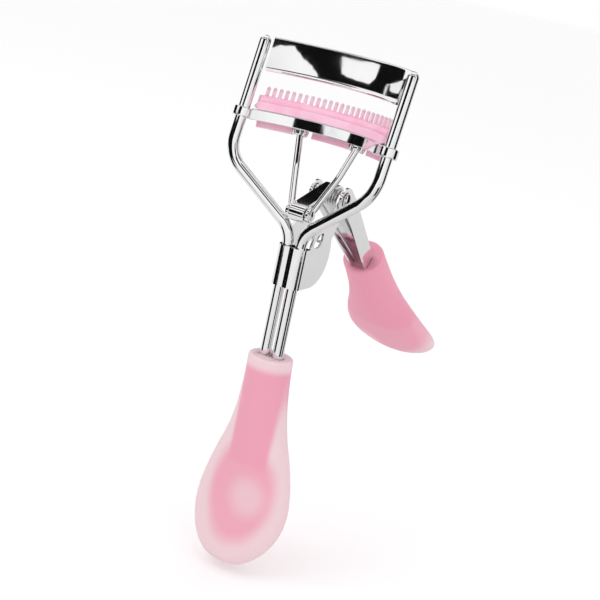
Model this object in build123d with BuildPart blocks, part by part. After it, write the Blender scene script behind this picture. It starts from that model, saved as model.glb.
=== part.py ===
from build123d import *
import math
import os

# Eyelash curler, modelled open. +Z runs up the handle, X is the width across the
# head, and +Y points from the user's eye towards the squeeze lever. The origin is
# where the middle fingers hold the main handle.

# ---- overall layout ----
LINK_HEIGHT = 52.0          # link pin level above the origin
HEAD_HALF_WIDTH = 17.05     # wire centre to the middle plane
HEAD_TILT = 12.87           # degrees the head leans back from the handle
HEAD_FORWARD = 6.12         # how far the head line passes in front of the handle at link level
HEAD_SAGITTA = 8.0          # depth of the lash curve
WIRE_D = 2.4
WIRE_SPACING = 3.02         # between the two wires in the handle
SHOULDER_T = 9.56           # corner between shoulder and upright, along the head
WIRE_TOP_T = 33.4           # start of the domed wire end
NECK_DROP = 2.85            # neck corner below link level
WIRE_END_DROP = 58.0        # wire ends inside the main handle
SHOULDER_BEND_R = 7.0
NECK_BEND_R = 6.5

# ---- head pieces ----
PLATE_BOTTOM_T = 27.5
PLATE_TOP_T = 34.5
PLATE_THICK = 0.8
PLATE_LIP = 1.0
PLATE_LIP_THICK = 0.6
BAR_BOTTOM_T = 17.25
BAR_TOP_T = 19.5
BAR_WALL = 0.6
BAR_HALF_DEPTH = 1.5        # front wall face to the arc line
BAR_FLOOR_T = 18.3
BAR_FLOOR_THICK = 0.6
LOOP_WALL = 0.65
LOOP_HEIGHT = 2.0
LOOP_CLEARANCE = 0.06
COMB_FRONT_TOP_T = 21.2
COMB_WALL = 0.65
COMB_SKIRT_T = 15.5
COMB_HALF_SPAN = 15.7
COMB_BACK_HALF_SPAN = 14.5
TOOTH_COUNT = 26
TOOTH_HALF_SPAN = 14.1
TOOTH_WIDTH = 0.62
TOOTH_TOP_T = 23.9
PAD_TOP_T = 22.35
PAD_HALF_SPAN = 15.2

# ---- yoke ----
YOKE_WIRE_D = 1.45
YOKE_HINGE_X = 6.8
YOKE_HINGE_T = 16.7
HINGE_BACK = 0.4            # hinge axis behind the middle of the bar
YOKE_KINK = (5.15, 3.1, 9.8)
LUG_THICK = 0.5
LUG_R = 1.0
EYE_THICK = 1.3
YOKE_EYE_R = 1.05
HINGE_PIN_D = 0.8
LINK_Y = -0.43
LINK_RISE = 1.25
LINK_EYE_X = 2.3
LINK_EYE_THICK = 1.0
LINK_EYE_R = 1.5
LINK_PIN_D = 1.2

# ---- collar bracket ----
COLLAR_TOP_DROP = 5.9
COLLAR_BOTTOM_DROP = 14.4
SHEET = 0.55

# ---- lever ----
AXLE_Y = 11.1
AXLE_RISE = 4.2
AXLE_D = 1.9
LEVER_SLOPE = 39.1          # degrees below horizontal
LEVER_EAR_R = 2.6
LEVER_HALF_WIDTH = 3.95
LEVER_TAIL_HALF_WIDTH = 2.15
LEVER_MOUTH = 26.5          # axle to grip mouth, along the lever
LEVER_LENGTH = 48.0         # axle to the hidden end of the channel
LEVER_DEPTH_IN = 1.1
KNUCKLE_R = 1.9
KNUCKLE_HALF = 1.7
KNUCKLE_SLOT = 0.30

# ---- return spring ----
SPRING_WIRE_D = 0.6
SPRING_MEAN_R = 1.62
SPRING_PITCH = 0.63
BUSH_WALL = 0.25

# ---- grips ----
GRIP_LENGTH = 49.8
GRIP_START = 0.065
LEVER_GRIP_START = 0.10
MAIN_GRIP_DROP = 26.4
LEVER_GRIP_Y = 29.1
LEVER_GRIP_DROP = 7.98
GRIP_WIDTHS = ((0.18, 5.04), (0.30, 5.70), (0.42, 7.05), (0.54, 9.08),
               (0.64, 10.45), (0.74, 11.15), (0.82, 10.75), (0.88, 9.6), (0.93, 7.9),
               (0.965, 5.9), (0.987, 3.8), (0.998, 1.7))
GRIP_MOUTH_HALF_WIDTH = 4.85
GRIP_THICK_NECK = 4.6
GRIP_THICK_WIDE = 4.3
GRIP_BOW = (-14.97, 18.34)  # quadratic and cubic terms of the axis curve
CORE_HALF_WIDTH = 3.6
CORE_HALF_THICK = 2.1
CORE_LENGTH = 30.0
SNUG = 0.01
RUNNING = 0.05

# ---- derived values ----
tilt = math.radians(HEAD_TILT)
head_dir = Vector(0, math.sin(tilt), math.cos(tilt))
wire_r = WIRE_D / 2
arc_r = (HEAD_HALF_WIDTH ** 2 + HEAD_SAGITTA ** 2) / (2 * HEAD_SAGITTA)
slope = math.radians(LEVER_SLOPE)
link_z = LINK_HEIGHT + LINK_RISE
axle_z = LINK_HEIGHT + AXLE_RISE
lever_dir = Vector(0, math.cos(slope), -math.sin(slope))
lever_out = Vector(0, math.sin(slope), math.cos(slope))


def head_point(x, t):
    """Point on the head line: x across, t along the tilted wires."""
    return Vector(x, t * math.sin(tilt) - HEAD_FORWARD, LINK_HEIGHT + t * math.cos(tilt))


def band_plane(t):
    """Level plane through the head at height t, centred on the curve's centre."""
    base = head_point(0, t)
    return Plane(origin=(0, base.Y + HEAD_SAGITTA - arc_r, base.Z), x_dir=(1, 0, 0), z_dir=(0, 0, 1))


def rise(t_low, t_high):
    """Length along the tilted wires between two head heights."""
    return t_high - t_low


def half_angle(half_span):
    """Angle of the curve out to a given half span, in degrees."""
    return math.degrees(math.asin(half_span / arc_r))


def curved_strip(inner, outer, half_span):
    """Sketch of a strip that follows the lash curve between two radius offsets."""
    angle = half_angle(half_span)
    low = 90 - angle
    with BuildLine() as strip_edge:
        inside = CenterArc((0, 0), arc_r + inner, low, 2 * angle)
        outside = CenterArc((0, 0), arc_r + outer, low, 2 * angle)
        Line(inside @ 0, outside @ 0)
        Line(inside @ 1, outside @ 1)
    make_face(strip_edge.edges())


def wire_path(points, radii):
    """Wire centre line through corner points, each inner corner rounded."""
    corners = [Vector(*p) for p in points]
    start = corners[0]
    for before, corner, after, radius in zip(corners, corners[1:], corners[2:], radii):
        back = (before - corner).normalized()
        ahead = (after - corner).normalized()
        half = math.radians(back.get_angle(ahead)) / 2
        reach = radius / math.tan(half)
        enter = corner + back * reach
        leave = corner + ahead * reach
        middle = corner + (back + ahead).normalized() * (radius / math.sin(half) - radius)
        Line(start, enter)
        ThreePointArc(enter, middle, leave)
        start = leave
    Line(start, corners[-1])


os.makedirs("parts", exist_ok=True)

# ---- frame wires: one bent rod each side, domed at the top ----
for side, name in ((-1, "frame_wire_left"), (1, "frame_wire_right")):
    x_handle = side * WIRE_SPACING / 2
    top = head_point(side * HEAD_HALF_WIDTH, WIRE_TOP_T)
    corner = head_point(side * HEAD_HALF_WIDTH, SHOULDER_T)
    neck = Vector(x_handle, 0, LINK_HEIGHT - NECK_DROP)
    foot = Vector(x_handle, 0, LINK_HEIGHT - WIRE_END_DROP)
    with BuildPart() as frame_wire:
        with BuildLine() as frame_line:
            wire_path((foot, neck, corner, top), (NECK_BEND_R, SHOULDER_BEND_R))
        with BuildSketch(Plane(origin=foot, z_dir=(0, 0, 1))):
            Circle(wire_r)
        sweep(path=frame_line.wire())
        with Locations(Location(top)):
            Sphere(wire_r)
    frame_wire.part.label = name
    export_step(frame_wire.part, "parts/" + name + ".step")

# ---- upper plate: curved pressing plate with a returned lower lip ----
wire_plane_left = Plane(origin=head_point(-HEAD_HALF_WIDTH, 0), x_dir=(1, 0, 0), z_dir=head_dir)
wire_plane_right = Plane(origin=head_point(HEAD_HALF_WIDTH, 0), x_dir=(1, 0, 0), z_dir=head_dir)
with BuildPart() as upper_plate:
    with BuildSketch(band_plane(PLATE_BOTTOM_T)):
        curved_strip(-PLATE_THICK / 2, PLATE_THICK / 2, HEAD_HALF_WIDTH)
    extrude(amount=rise(PLATE_BOTTOM_T, PLATE_TOP_T), dir=head_dir)
    with BuildSketch(band_plane(PLATE_BOTTOM_T)):
        curved_strip(-PLATE_THICK / 2 - PLATE_LIP, PLATE_THICK / 2, HEAD_HALF_WIDTH - 1.3)
    extrude(amount=PLATE_LIP_THICK, dir=head_dir)
    with BuildSketch(wire_plane_left, wire_plane_right):
        Circle(wire_r + SNUG)
    extrude(amount=WIRE_TOP_T + 4, mode=Mode.SUBTRACT)
upper_plate.part.label = "upper_plate"
export_step(upper_plate.part, "parts/upper_plate.step")

# ---- lower bar: curved channel that slides on the wires, with loops and lugs ----
loop_low_t = (BAR_BOTTOM_T + BAR_TOP_T) / 2 - LOOP_HEIGHT / 2
hinge = head_point(0, YOKE_HINGE_T)
hinge_y = hinge.Y + HINGE_BACK + HEAD_SAGITTA - arc_r + math.sqrt(arc_r ** 2 - YOKE_HINGE_X ** 2)
lug_inner = EYE_THICK / 2 + 0.35
with BuildPart() as lower_bar:
    with BuildSketch(band_plane(BAR_BOTTOM_T)):
        curved_strip(-BAR_HALF_DEPTH, BAR_WALL - BAR_HALF_DEPTH, HEAD_HALF_WIDTH - 0.5)
    extrude(amount=rise(BAR_BOTTOM_T, BAR_TOP_T), dir=head_dir)
    with BuildSketch(band_plane(BAR_FLOOR_T)):
        curved_strip(-BAR_HALF_DEPTH, BAR_HALF_DEPTH, HEAD_HALF_WIDTH - 0.9)
    extrude(amount=BAR_FLOOR_THICK, dir=head_dir)
    with BuildSketch(wire_plane_left.offset(loop_low_t), wire_plane_right.offset(loop_low_t)):
        Circle(wire_r + LOOP_CLEARANCE + LOOP_WALL)
    extrude(amount=LOOP_HEIGHT)
    for lug_x in (-YOKE_HINGE_X, YOKE_HINGE_X):
        for lug_side in (-1, 1):
            lug_face = lug_x + lug_side * (lug_inner + LUG_THICK / 2) - LUG_THICK / 2
            lug_height = (BAR_FLOOR_T - YOKE_HINGE_T) * math.cos(tilt) + 0.1
            with BuildSketch(Plane(origin=(lug_face, hinge_y, hinge.Z), x_dir=(0, 1, 0), z_dir=(1, 0, 0))):
                Circle(LUG_R)
                with Locations((0.1, lug_height / 2)):
                    Rectangle(LUG_R * 1.7, lug_height)
                Circle(HINGE_PIN_D / 2 + SNUG, mode=Mode.SUBTRACT)
            extrude(amount=LUG_THICK)
    with BuildSketch(wire_plane_left, wire_plane_right):
        Circle(wire_r + LOOP_CLEARANCE)
    extrude(amount=WIRE_TOP_T, mode=Mode.SUBTRACT)
lower_bar.part.label = "lower_bar"
export_step(lower_bar.part, "parts/lower_bar.step")

# ---- comb clip: soft clip over the bar, with a comb along its back edge ----
comb_floor_t = BAR_FLOOR_T + BAR_FLOOR_THICK + SNUG
comb_back = BAR_HALF_DEPTH + SNUG
comb_front = -BAR_HALF_DEPTH
tooth_angle = 2 * half_angle(TOOTH_HALF_SPAN) / (TOOTH_COUNT - 1)
with BuildPart() as comb_clip:
    with BuildSketch(band_plane(COMB_SKIRT_T)):
        curved_strip(comb_back, comb_back + COMB_WALL, COMB_BACK_HALF_SPAN)
    extrude(amount=rise(COMB_SKIRT_T, COMB_FRONT_TOP_T), dir=head_dir)
    with BuildSketch(band_plane(BAR_TOP_T + SNUG)):
        curved_strip(comb_front, comb_front + COMB_WALL, COMB_HALF_SPAN)
    extrude(amount=rise(BAR_TOP_T, COMB_FRONT_TOP_T), dir=head_dir)
    with BuildSketch(band_plane(comb_floor_t)):
        curved_strip(comb_front + BAR_WALL + SNUG, comb_back + COMB_WALL / 2, COMB_BACK_HALF_SPAN)
    extrude(amount=rise(comb_floor_t, BAR_TOP_T + 0.5), dir=head_dir)
    with BuildSketch(band_plane(BAR_TOP_T + SNUG)):
        curved_strip(comb_front, comb_back, COMB_HALF_SPAN)
    extrude(amount=0.5, dir=head_dir)
    for lug_x in (-YOKE_HINGE_X, YOKE_HINGE_X):
        with Locations(Location((lug_x, hinge_y + 2, hinge.Z - 0.6))):
            Box(2 * (lug_inner + LUG_THICK) + 0.9, 5, 3.6, mode=Mode.SUBTRACT)
    with BuildSketch(band_plane(COMB_FRONT_TOP_T - 0.2)):
        for index in range(TOOTH_COUNT):
            with PolarLocations(arc_r + comb_back + COMB_WALL / 2, 1,
                                start_angle=90 + (index - (TOOTH_COUNT - 1) / 2) * tooth_angle):
                Rectangle(COMB_WALL, TOOTH_WIDTH)
    extrude(amount=rise(COMB_FRONT_TOP_T, TOOTH_TOP_T), dir=head_dir)
comb_clip.part.label = "comb_clip"
export_step(comb_clip.part, "parts/comb_clip.step")

# ---- lash pad: silicone cushion lying in the clip ----
pad_floor_t = BAR_TOP_T + 0.5 + 2 * SNUG
with BuildPart() as lash_pad:
    with BuildSketch(band_plane(pad_floor_t)):
        curved_strip(comb_front + COMB_WALL + SNUG, comb_back - SNUG, PAD_HALF_SPAN)
    extrude(amount=rise(pad_floor_t, PAD_TOP_T), dir=head_dir)
lash_pad.part.label = "lash_pad"
export_step(lash_pad.part, "parts/lash_pad.step")

# ---- hinge pins: small rivets through the lugs ----
pin_half = lug_inner + LUG_THICK + SNUG
for side, name in ((-1, "hinge_pin_left"), (1, "hinge_pin_right")):
    pin_plane = Plane(origin=(side * YOKE_HINGE_X, hinge_y, hinge.Z), x_dir=(0, 1, 0), z_dir=(1, 0, 0))
    with BuildPart() as hinge_pin:
        with BuildSketch(pin_plane):
            Circle(HINGE_PIN_D / 2)
        extrude(amount=pin_half + 0.1, both=True)
        with BuildSketch(pin_plane.offset(pin_half)):
            Circle(HINGE_PIN_D * 0.85)
        extrude(amount=0.25)
        with BuildSketch(pin_plane.offset(-pin_half)):
            Circle(HINGE_PIN_D * 0.85)
        extrude(amount=-0.25)
    hinge_pin.part.label = name
    export_step(hinge_pin.part, "parts/" + name + ".step")

# ---- yoke wires: pull rods from the link pin to the lower bar ----
for side, name in ((-1, "yoke_wire_left"), (1, "yoke_wire_right")):
    upper = Vector(side * YOKE_HINGE_X, hinge_y, hinge.Z)
    lower = Vector(side * LINK_EYE_X, LINK_Y, link_z)
    kink = Vector(side * YOKE_KINK[0], YOKE_KINK[1], LINK_HEIGHT + YOKE_KINK[2])
    upper_start = upper + (kink - upper).normalized() * 0.8
    lower_end = lower + (kink - lower).normalized() * 1.3
    with BuildPart() as yoke_wire:
        with BuildLine() as yoke_line:
            wire_path((upper_start, kink, lower_end), (9.0,))
        with BuildSketch(Plane(origin=upper_start, z_dir=(kink - upper).normalized())):
            Circle(YOKE_WIRE_D / 2)
        sweep(path=yoke_line.wire())
        with BuildSketch(Plane(origin=upper - Vector(EYE_THICK / 2, 0, 0), x_dir=(0, 1, 0), z_dir=(1, 0, 0))):
            Circle(YOKE_EYE_R)
        extrude(amount=EYE_THICK)
        with BuildSketch(Plane(origin=lower - Vector(LINK_EYE_THICK / 2, 0, 0), x_dir=(0, 1, 0), z_dir=(1, 0, 0))):
            Circle(LINK_EYE_R)
        extrude(amount=LINK_EYE_THICK)
        with BuildSketch(Plane(origin=lower - Vector(4, 0, 0), x_dir=(0, 1, 0), z_dir=(1, 0, 0))):
            Circle(LINK_PIN_D / 2 + SNUG)
        extrude(amount=8, mode=Mode.SUBTRACT)
        with BuildSketch(Plane(origin=upper - Vector(2, 0, 0), x_dir=(0, 1, 0), z_dir=(1, 0, 0))):
            Circle(HINGE_PIN_D / 2 + RUNNING)
        extrude(amount=4, mode=Mode.SUBTRACT)
    yoke_wire.part.label = name
    export_step(yoke_wire.part, "parts/" + name + ".step")

# ---- link pin: rivet that joins both yoke eyes through the lever's knuckle ----
link_plane = Plane(origin=(0, LINK_Y, link_z), x_dir=(0, 1, 0), z_dir=(1, 0, 0))
link_pin_half = LINK_EYE_X + LINK_EYE_THICK / 2 + SNUG
with BuildPart() as link_pin:
    with BuildSketch(link_plane):
        Circle(LINK_PIN_D / 2)
    extrude(amount=link_pin_half + 0.1, both=True)
    with BuildSketch(link_plane.offset(link_pin_half)):
        Circle(LINK_PIN_D * 0.8)
    extrude(amount=0.35)
    with BuildSketch(link_plane.offset(-link_pin_half)):
        Circle(LINK_PIN_D * 0.8)
    extrude(amount=-0.35)
link_pin.part.label = "link_pin"
export_step(link_pin.part, "parts/link_pin.step")

# ---- collar bracket: sheet wrapped round the front of both wires, its ends run back as two flanges ----
side_plane = Plane(origin=(0, 0, LINK_HEIGHT), x_dir=(0, 1, 0), z_dir=(1, 0, 0))
collar_out_r = wire_r + SNUG + SHEET
flange_outer = WIRE_SPACING / 2 + collar_out_r
flange_inner = flange_outer - SHEET
flange_lower = ((0.0, -COLLAR_BOTTOM_DROP), (3.6, -14.3), (7.1, -13.1), (9.0, -10.9), (9.75, -7.9), (9.3, -4.4))
flange_lobe = ((13.0, 3.6), (11.1, 6.1), (9.3, 4.8))
flange_front = ((5.6, -0.6), (1.7, -2.8), (1.5, -COLLAR_TOP_DROP), (0.0, -COLLAR_TOP_DROP))
with BuildPart() as collar_bracket:
    with BuildSketch(Plane.XY.offset(LINK_HEIGHT - COLLAR_BOTTOM_DROP)):
        SlotCenterToCenter(WIRE_SPACING, 2 * collar_out_r)
    extrude(amount=COLLAR_BOTTOM_DROP - COLLAR_TOP_DROP)
    with BuildSketch(side_plane):
        with BuildLine():
            Polyline(flange_lower[0], flange_lower[1])
            Spline(*flange_lower[1:])
            Line(flange_lower[-1], flange_lobe[0])
            ThreePointArc(*flange_lobe)
            Polyline(flange_lobe[-1], *flange_front, flange_lower[0])
        make_face()
    extrude(amount=flange_outer, both=True)
    with BuildSketch(side_plane):
        with Locations((10, -4.0)):
            Rectangle(20 - 2 * SNUG, 40)
    extrude(amount=flange_inner, both=True, mode=Mode.SUBTRACT)
    with BuildSketch(Plane.XY.offset(LINK_HEIGHT - COLLAR_BOTTOM_DROP - 1)):
        SlotCenterToCenter(WIRE_SPACING, 2 * (wire_r + SNUG))
    extrude(amount=COLLAR_BOTTOM_DROP - COLLAR_TOP_DROP + 6, mode=Mode.SUBTRACT)
    with BuildSketch(Plane.XY.offset(LINK_HEIGHT - COLLAR_BOTTOM_DROP)):
        with Locations((0, wire_r + SNUG + SHEET / 2)):
            Rectangle(2 * flange_outer - 0.2, SHEET)
    extrude(amount=COLLAR_BOTTOM_DROP - COLLAR_TOP_DROP)
    with BuildSketch(side_plane):
        with Locations((AXLE_Y, AXLE_RISE)):
            Circle(AXLE_D / 2 + SNUG)
    extrude(amount=5, both=True, mode=Mode.SUBTRACT)
    with BuildSketch(side_plane):
        with BuildLine():
            Polyline((2.3, -5.2), (3.2, -2.9), (5.4, -2.6), (5.6, -3.6))
            ThreePointArc((5.6, -3.6), (4.3, -5.7), (2.3, -5.2))
        make_face()
    extrude(amount=5, mode=Mode.SUBTRACT)
collar_bracket.part.label = "collar_bracket"
export_step(collar_bracket.part, "parts/collar_bracket.step")

# ---- axle with rivet heads, two washers, and a bush on the right ----
axle_plane = Plane(origin=(0, AXLE_Y, axle_z), x_dir=(0, 1, 0), z_dir=(1, 0, 0))
washer_thick = 0.3
axle_half = LEVER_HALF_WIDTH + washer_thick + 0.1
with BuildPart() as pivot_axle:
    with BuildSketch(axle_plane):
        Circle(AXLE_D / 2)
    extrude(amount=axle_half + 0.1, both=True)
    with BuildSketch(axle_plane.offset(axle_half)):
        Circle(AXLE_D * 0.82)
    extrude(amount=0.5)
    with BuildSketch(axle_plane.offset(-axle_half)):
        Circle(AXLE_D * 0.82)
    extrude(amount=-0.5)
pivot_axle.part.label = "pivot_axle"
export_step(pivot_axle.part, "parts/pivot_axle.step")

for side, name in ((-1, "axle_washer_left"), (1, "axle_washer_right")):
    washer_low = side * (axle_half - SNUG) - (washer_thick if side > 0 else 0)
    with BuildPart() as axle_washer:
        with BuildSketch(axle_plane.offset(washer_low)):
            Circle(AXLE_D * 0.95)
            Circle(AXLE_D / 2 + SNUG, mode=Mode.SUBTRACT)
        extrude(amount=washer_thick)
    axle_washer.part.label = name
    export_step(axle_washer.part, "parts/" + name + ".step")

with BuildPart() as axle_bush:
    with BuildSketch(axle_plane):
        Circle(AXLE_D / 2 + BUSH_WALL)
        Circle(AXLE_D / 2 + SNUG, mode=Mode.SUBTRACT)
    extrude(amount=flange_inner - SNUG, both=True)
axle_bush.part.label = "axle_bush"
export_step(axle_bush.part, "parts/axle_bush.step")

# ---- lever channel: folded sheet with a knuckle at its nose ----
lever_side = Plane(origin=(0, AXLE_Y, axle_z), x_dir=lever_dir, z_dir=(1, 0, 0))
lever_plan = Plane(origin=(0, AXLE_Y, axle_z), x_dir=lever_dir, z_dir=lever_out)
arm_y = AXLE_Y - LINK_Y
arm_z = AXLE_RISE - LINK_RISE
arm_length = math.hypot(arm_y, arm_z)
arm_angle = math.atan2(arm_z, arm_y)
tangent_angle = arm_angle + math.pi / 2 + math.asin((LEVER_EAR_R - KNUCKLE_R) / arm_length)
tangent = (math.cos(tangent_angle), math.sin(tangent_angle))


def tongue_corner(centre_y, centre_z, radius):
    """Corner of the tongue at a radius along the common tangent direction."""
    return (centre_y + radius * tangent[0], centre_z + radius * tangent[1])


with BuildPart() as lever_hollow:
    with BuildSketch(lever_side):
        Circle(LEVER_EAR_R - SHEET)
        with Locations((LEVER_LENGTH / 2, (LEVER_EAR_R - SHEET) / 2 - 2)):
            Rectangle(LEVER_LENGTH + 1, LEVER_EAR_R - SHEET + 4)
        with Locations((-3.5, -2.0)):
            Rectangle(8, 5.4)
    extrude(amount=LEVER_HALF_WIDTH, both=True)
    with BuildSketch(lever_plan):
        with BuildLine():
            Polyline((-8, LEVER_HALF_WIDTH - SHEET), (5, LEVER_HALF_WIDTH - SHEET),
                     (LEVER_MOUTH, LEVER_TAIL_HALF_WIDTH - SHEET), (LEVER_LENGTH + 1, LEVER_TAIL_HALF_WIDTH - SHEET),
                     (LEVER_LENGTH + 1, SHEET - LEVER_TAIL_HALF_WIDTH), (LEVER_MOUTH, SHEET - LEVER_TAIL_HALF_WIDTH),
                     (5, SHEET - LEVER_HALF_WIDTH), (-8, SHEET - LEVER_HALF_WIDTH), close=True)
        make_face()
    extrude(amount=9, both=True, mode=Mode.INTERSECT)

with BuildPart() as lever_channel:
    with BuildSketch(lever_side):
        Circle(LEVER_EAR_R)
        with Locations((LEVER_LENGTH / 2, (LEVER_EAR_R - LEVER_DEPTH_IN) / 2)):
            Rectangle(LEVER_LENGTH, LEVER_EAR_R + LEVER_DEPTH_IN)
    extrude(amount=LEVER_HALF_WIDTH, both=True)
    with BuildSketch(lever_plan):
        with BuildLine():
            Polyline((-8, LEVER_HALF_WIDTH), (5, LEVER_HALF_WIDTH), (LEVER_MOUTH, LEVER_TAIL_HALF_WIDTH),
                     (LEVER_LENGTH + 1, LEVER_TAIL_HALF_WIDTH), (LEVER_LENGTH + 1, -LEVER_TAIL_HALF_WIDTH),
                     (LEVER_MOUTH, -LEVER_TAIL_HALF_WIDTH), (5, -LEVER_HALF_WIDTH), (-8, -LEVER_HALF_WIDTH),
                     close=True)
        make_face()
    extrude(amount=9, both=True, mode=Mode.INTERSECT)
    add(lever_hollow.part, mode=Mode.SUBTRACT)
    with BuildSketch(lever_plan):
        for window_side in (-1, 1):
            with Locations((-0.9, window_side * (KNUCKLE_HALF + LEVER_HALF_WIDTH - SHEET) / 2)):
                Rectangle(5.4, LEVER_HALF_WIDTH - SHEET - KNUCKLE_HALF)
    extrude(amount=4, mode=Mode.SUBTRACT)
    with BuildSketch(side_plane):
        Polygon(tongue_corner(LINK_Y, LINK_RISE, KNUCKLE_R), tongue_corner(AXLE_Y, AXLE_RISE, LEVER_EAR_R),
                tongue_corner(AXLE_Y, AXLE_RISE, LEVER_EAR_R - SHEET),
                tongue_corner(LINK_Y, LINK_RISE, KNUCKLE_R - SHEET), align=None)
        with Locations((LINK_Y, LINK_RISE)):
            Circle(KNUCKLE_R)
    extrude(amount=KNUCKLE_HALF, both=True)
    with BuildSketch(side_plane):
        with Locations((LINK_Y + KNUCKLE_SLOT / 2 * math.cos(arm_angle), LINK_RISE + KNUCKLE_SLOT / 2 * math.sin(arm_angle))):
            SlotCenterToCenter(KNUCKLE_SLOT, LINK_PIN_D + 2 * RUNNING, rotation=math.degrees(arm_angle))
    extrude(amount=3, both=True, mode=Mode.SUBTRACT)
    with BuildSketch(lever_side):
        Circle(AXLE_D / 2 + RUNNING)
    extrude(amount=6, both=True, mode=Mode.SUBTRACT)
lever_channel.part.label = "lever_channel"
export_step(lever_channel.part, "parts/lever_channel.step")

# ---- return spring: coil on the axle, one leg hooked in the fin, one along the channel ----
hook = (4.3, -4.3)
hook_reach = math.hypot(hook[0] - AXLE_Y, hook[1] - AXLE_RISE)
leave_angle = math.atan2(hook[1] - AXLE_RISE, hook[0] - AXLE_Y) + math.acos(SPRING_MEAN_R / hook_reach)
press_angle = math.pi + math.pi / 2 - slope
spring_turns = 6 + (press_angle - leave_angle) / (2 * math.pi)
coil_start_x = flange_inner - 0.15 - SPRING_WIRE_D / 2
coil_end_x = coil_start_x - spring_turns * SPRING_PITCH
leave_dir = Vector(0, math.cos(leave_angle), math.sin(leave_angle))
coil_start = Vector(coil_start_x, AXLE_Y, axle_z) + leave_dir * SPRING_MEAN_R
coil_end = Vector(coil_end_x, AXLE_Y, axle_z) - lever_out * SPRING_MEAN_R
hook_point = Vector(coil_start_x, hook[0], LINK_HEIGHT + hook[1])
leg_tip = Vector(-1.0, AXLE_Y, axle_z) + lever_dir * (LEVER_MOUTH + 2) + lever_out * 0.4
coil_plane = Plane(origin=(coil_start_x, AXLE_Y, axle_z), x_dir=leave_dir, z_dir=(-1, 0, 0))
with BuildLine() as coil_line:
    Helix(SPRING_PITCH, spring_turns * SPRING_PITCH, SPRING_MEAN_R, lefthand=True)
coil_path = coil_plane.from_local_coords(coil_line.wire())
hook_tip = hook_point + Vector(1.5, 0, 0)
hook_dir = (coil_start - hook_point).normalized()
bend_in = hook_point + Vector(0.5, 0, 0)
bend_out = hook_point + hook_dir * 0.5
bend_mid = hook_point + (Vector(1, 0, 0) + hook_dir).normalized() * 0.21
press_dir = (leg_tip - coil_end).normalized()
with BuildPart() as return_spring:
    with BuildSketch(Plane(origin=coil_path @ 0, z_dir=coil_path % 0)):
        Circle(SPRING_WIRE_D / 2)
    sweep(path=coil_path, is_frenet=True)
    with BuildLine() as hook_line:
        Line(hook_tip, bend_in)
        ThreePointArc(bend_in, bend_mid, bend_out)
        Line(bend_out, coil_start - hook_dir * SNUG)
    with BuildSketch(Plane(origin=hook_tip, z_dir=(-1, 0, 0))):
        Circle(SPRING_WIRE_D / 2)
    sweep(path=hook_line.wire())
    with BuildSketch(Plane(origin=coil_end + press_dir * 0.04, z_dir=press_dir)):
        Circle(SPRING_WIRE_D / 2)
    extrude(amount=(leg_tip - coil_end).length - 0.04)
return_spring.part.label = "return_spring"
export_step(return_spring.part, "parts/return_spring.step")

# ---- grip cores: hard inserts that hold the wires and the channel ----
core_start = GRIP_START * GRIP_LENGTH + 0.8
main_base = Plane(origin=(0, 0, LINK_HEIGHT - MAIN_GRIP_DROP), x_dir=(1, 0, 0), z_dir=(0, 0, -1))
lever_base = Plane(origin=(0, LEVER_GRIP_Y, LINK_HEIGHT - LEVER_GRIP_DROP), x_dir=(-1, 0, 0), z_dir=lever_dir)
channel_mid_out = (LEVER_EAR_R - LEVER_DEPTH_IN) / 2
channel_depth = LEVER_EAR_R + LEVER_DEPTH_IN
channel_centre = Plane(origin=Vector(0, AXLE_Y, axle_z) + lever_out * channel_mid_out,
                       x_dir=(-1, 0, 0), z_dir=lever_dir)
with BuildPart() as handle_core:
    with BuildSketch(main_base.offset(core_start)):
        RectangleRounded(2 * CORE_HALF_WIDTH, 2 * CORE_HALF_THICK, CORE_HALF_THICK * 0.85)
        with Locations((-WIRE_SPACING / 2, 0), (WIRE_SPACING / 2, 0)):
            Circle(wire_r + SNUG, mode=Mode.SUBTRACT)
    extrude(amount=CORE_LENGTH)
handle_core.part.label = "handle_core"
export_step(handle_core.part, "parts/handle_core.step")

lever_core_half = LEVER_TAIL_HALF_WIDTH + 0.55
lever_core_deep = channel_depth / 2 + 0.45
with BuildPart() as lever_core:
    with BuildSketch(channel_centre.offset(LEVER_MOUTH + 0.8)):
        RectangleRounded(2 * lever_core_half, 2 * lever_core_deep, 1.2)
    extrude(amount=CORE_LENGTH)
    with BuildSketch(channel_centre.offset(LEVER_MOUTH)):
        Rectangle(2 * (LEVER_TAIL_HALF_WIDTH + SNUG), channel_depth + 2 * SNUG)
    extrude(amount=LEVER_LENGTH - LEVER_MOUTH + SNUG, mode=Mode.SUBTRACT)
lever_core.part.label = "lever_core"
export_step(lever_core.part, "parts/lever_core.step")


def grip_half_thickness(s):
    """Half thickness of the grip before the tip rounding."""
    return GRIP_THICK_NECK + (GRIP_THICK_WIDE - GRIP_THICK_NECK) * min(1.0, s / 0.86)


def grip_axis_offset(s):
    """Sideways bow of the grip axis, positive away from the other grip."""
    return GRIP_BOW[0] * s ** 2 + GRIP_BOW[1] * s ** 3


def grip_stations(start):
    """Station, half width, half thickness and bow for each grip section."""
    rows = []
    for s, half_width in ((start, GRIP_MOUTH_HALF_WIDTH),) + GRIP_WIDTHS:
        shrink = math.sqrt(max(0.0, 1 - (max(0.0, s - 0.86) / 0.14) ** 2))
        rows.append((s * GRIP_LENGTH, half_width, grip_half_thickness(s) * shrink, grip_axis_offset(s)))
    return rows


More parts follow.
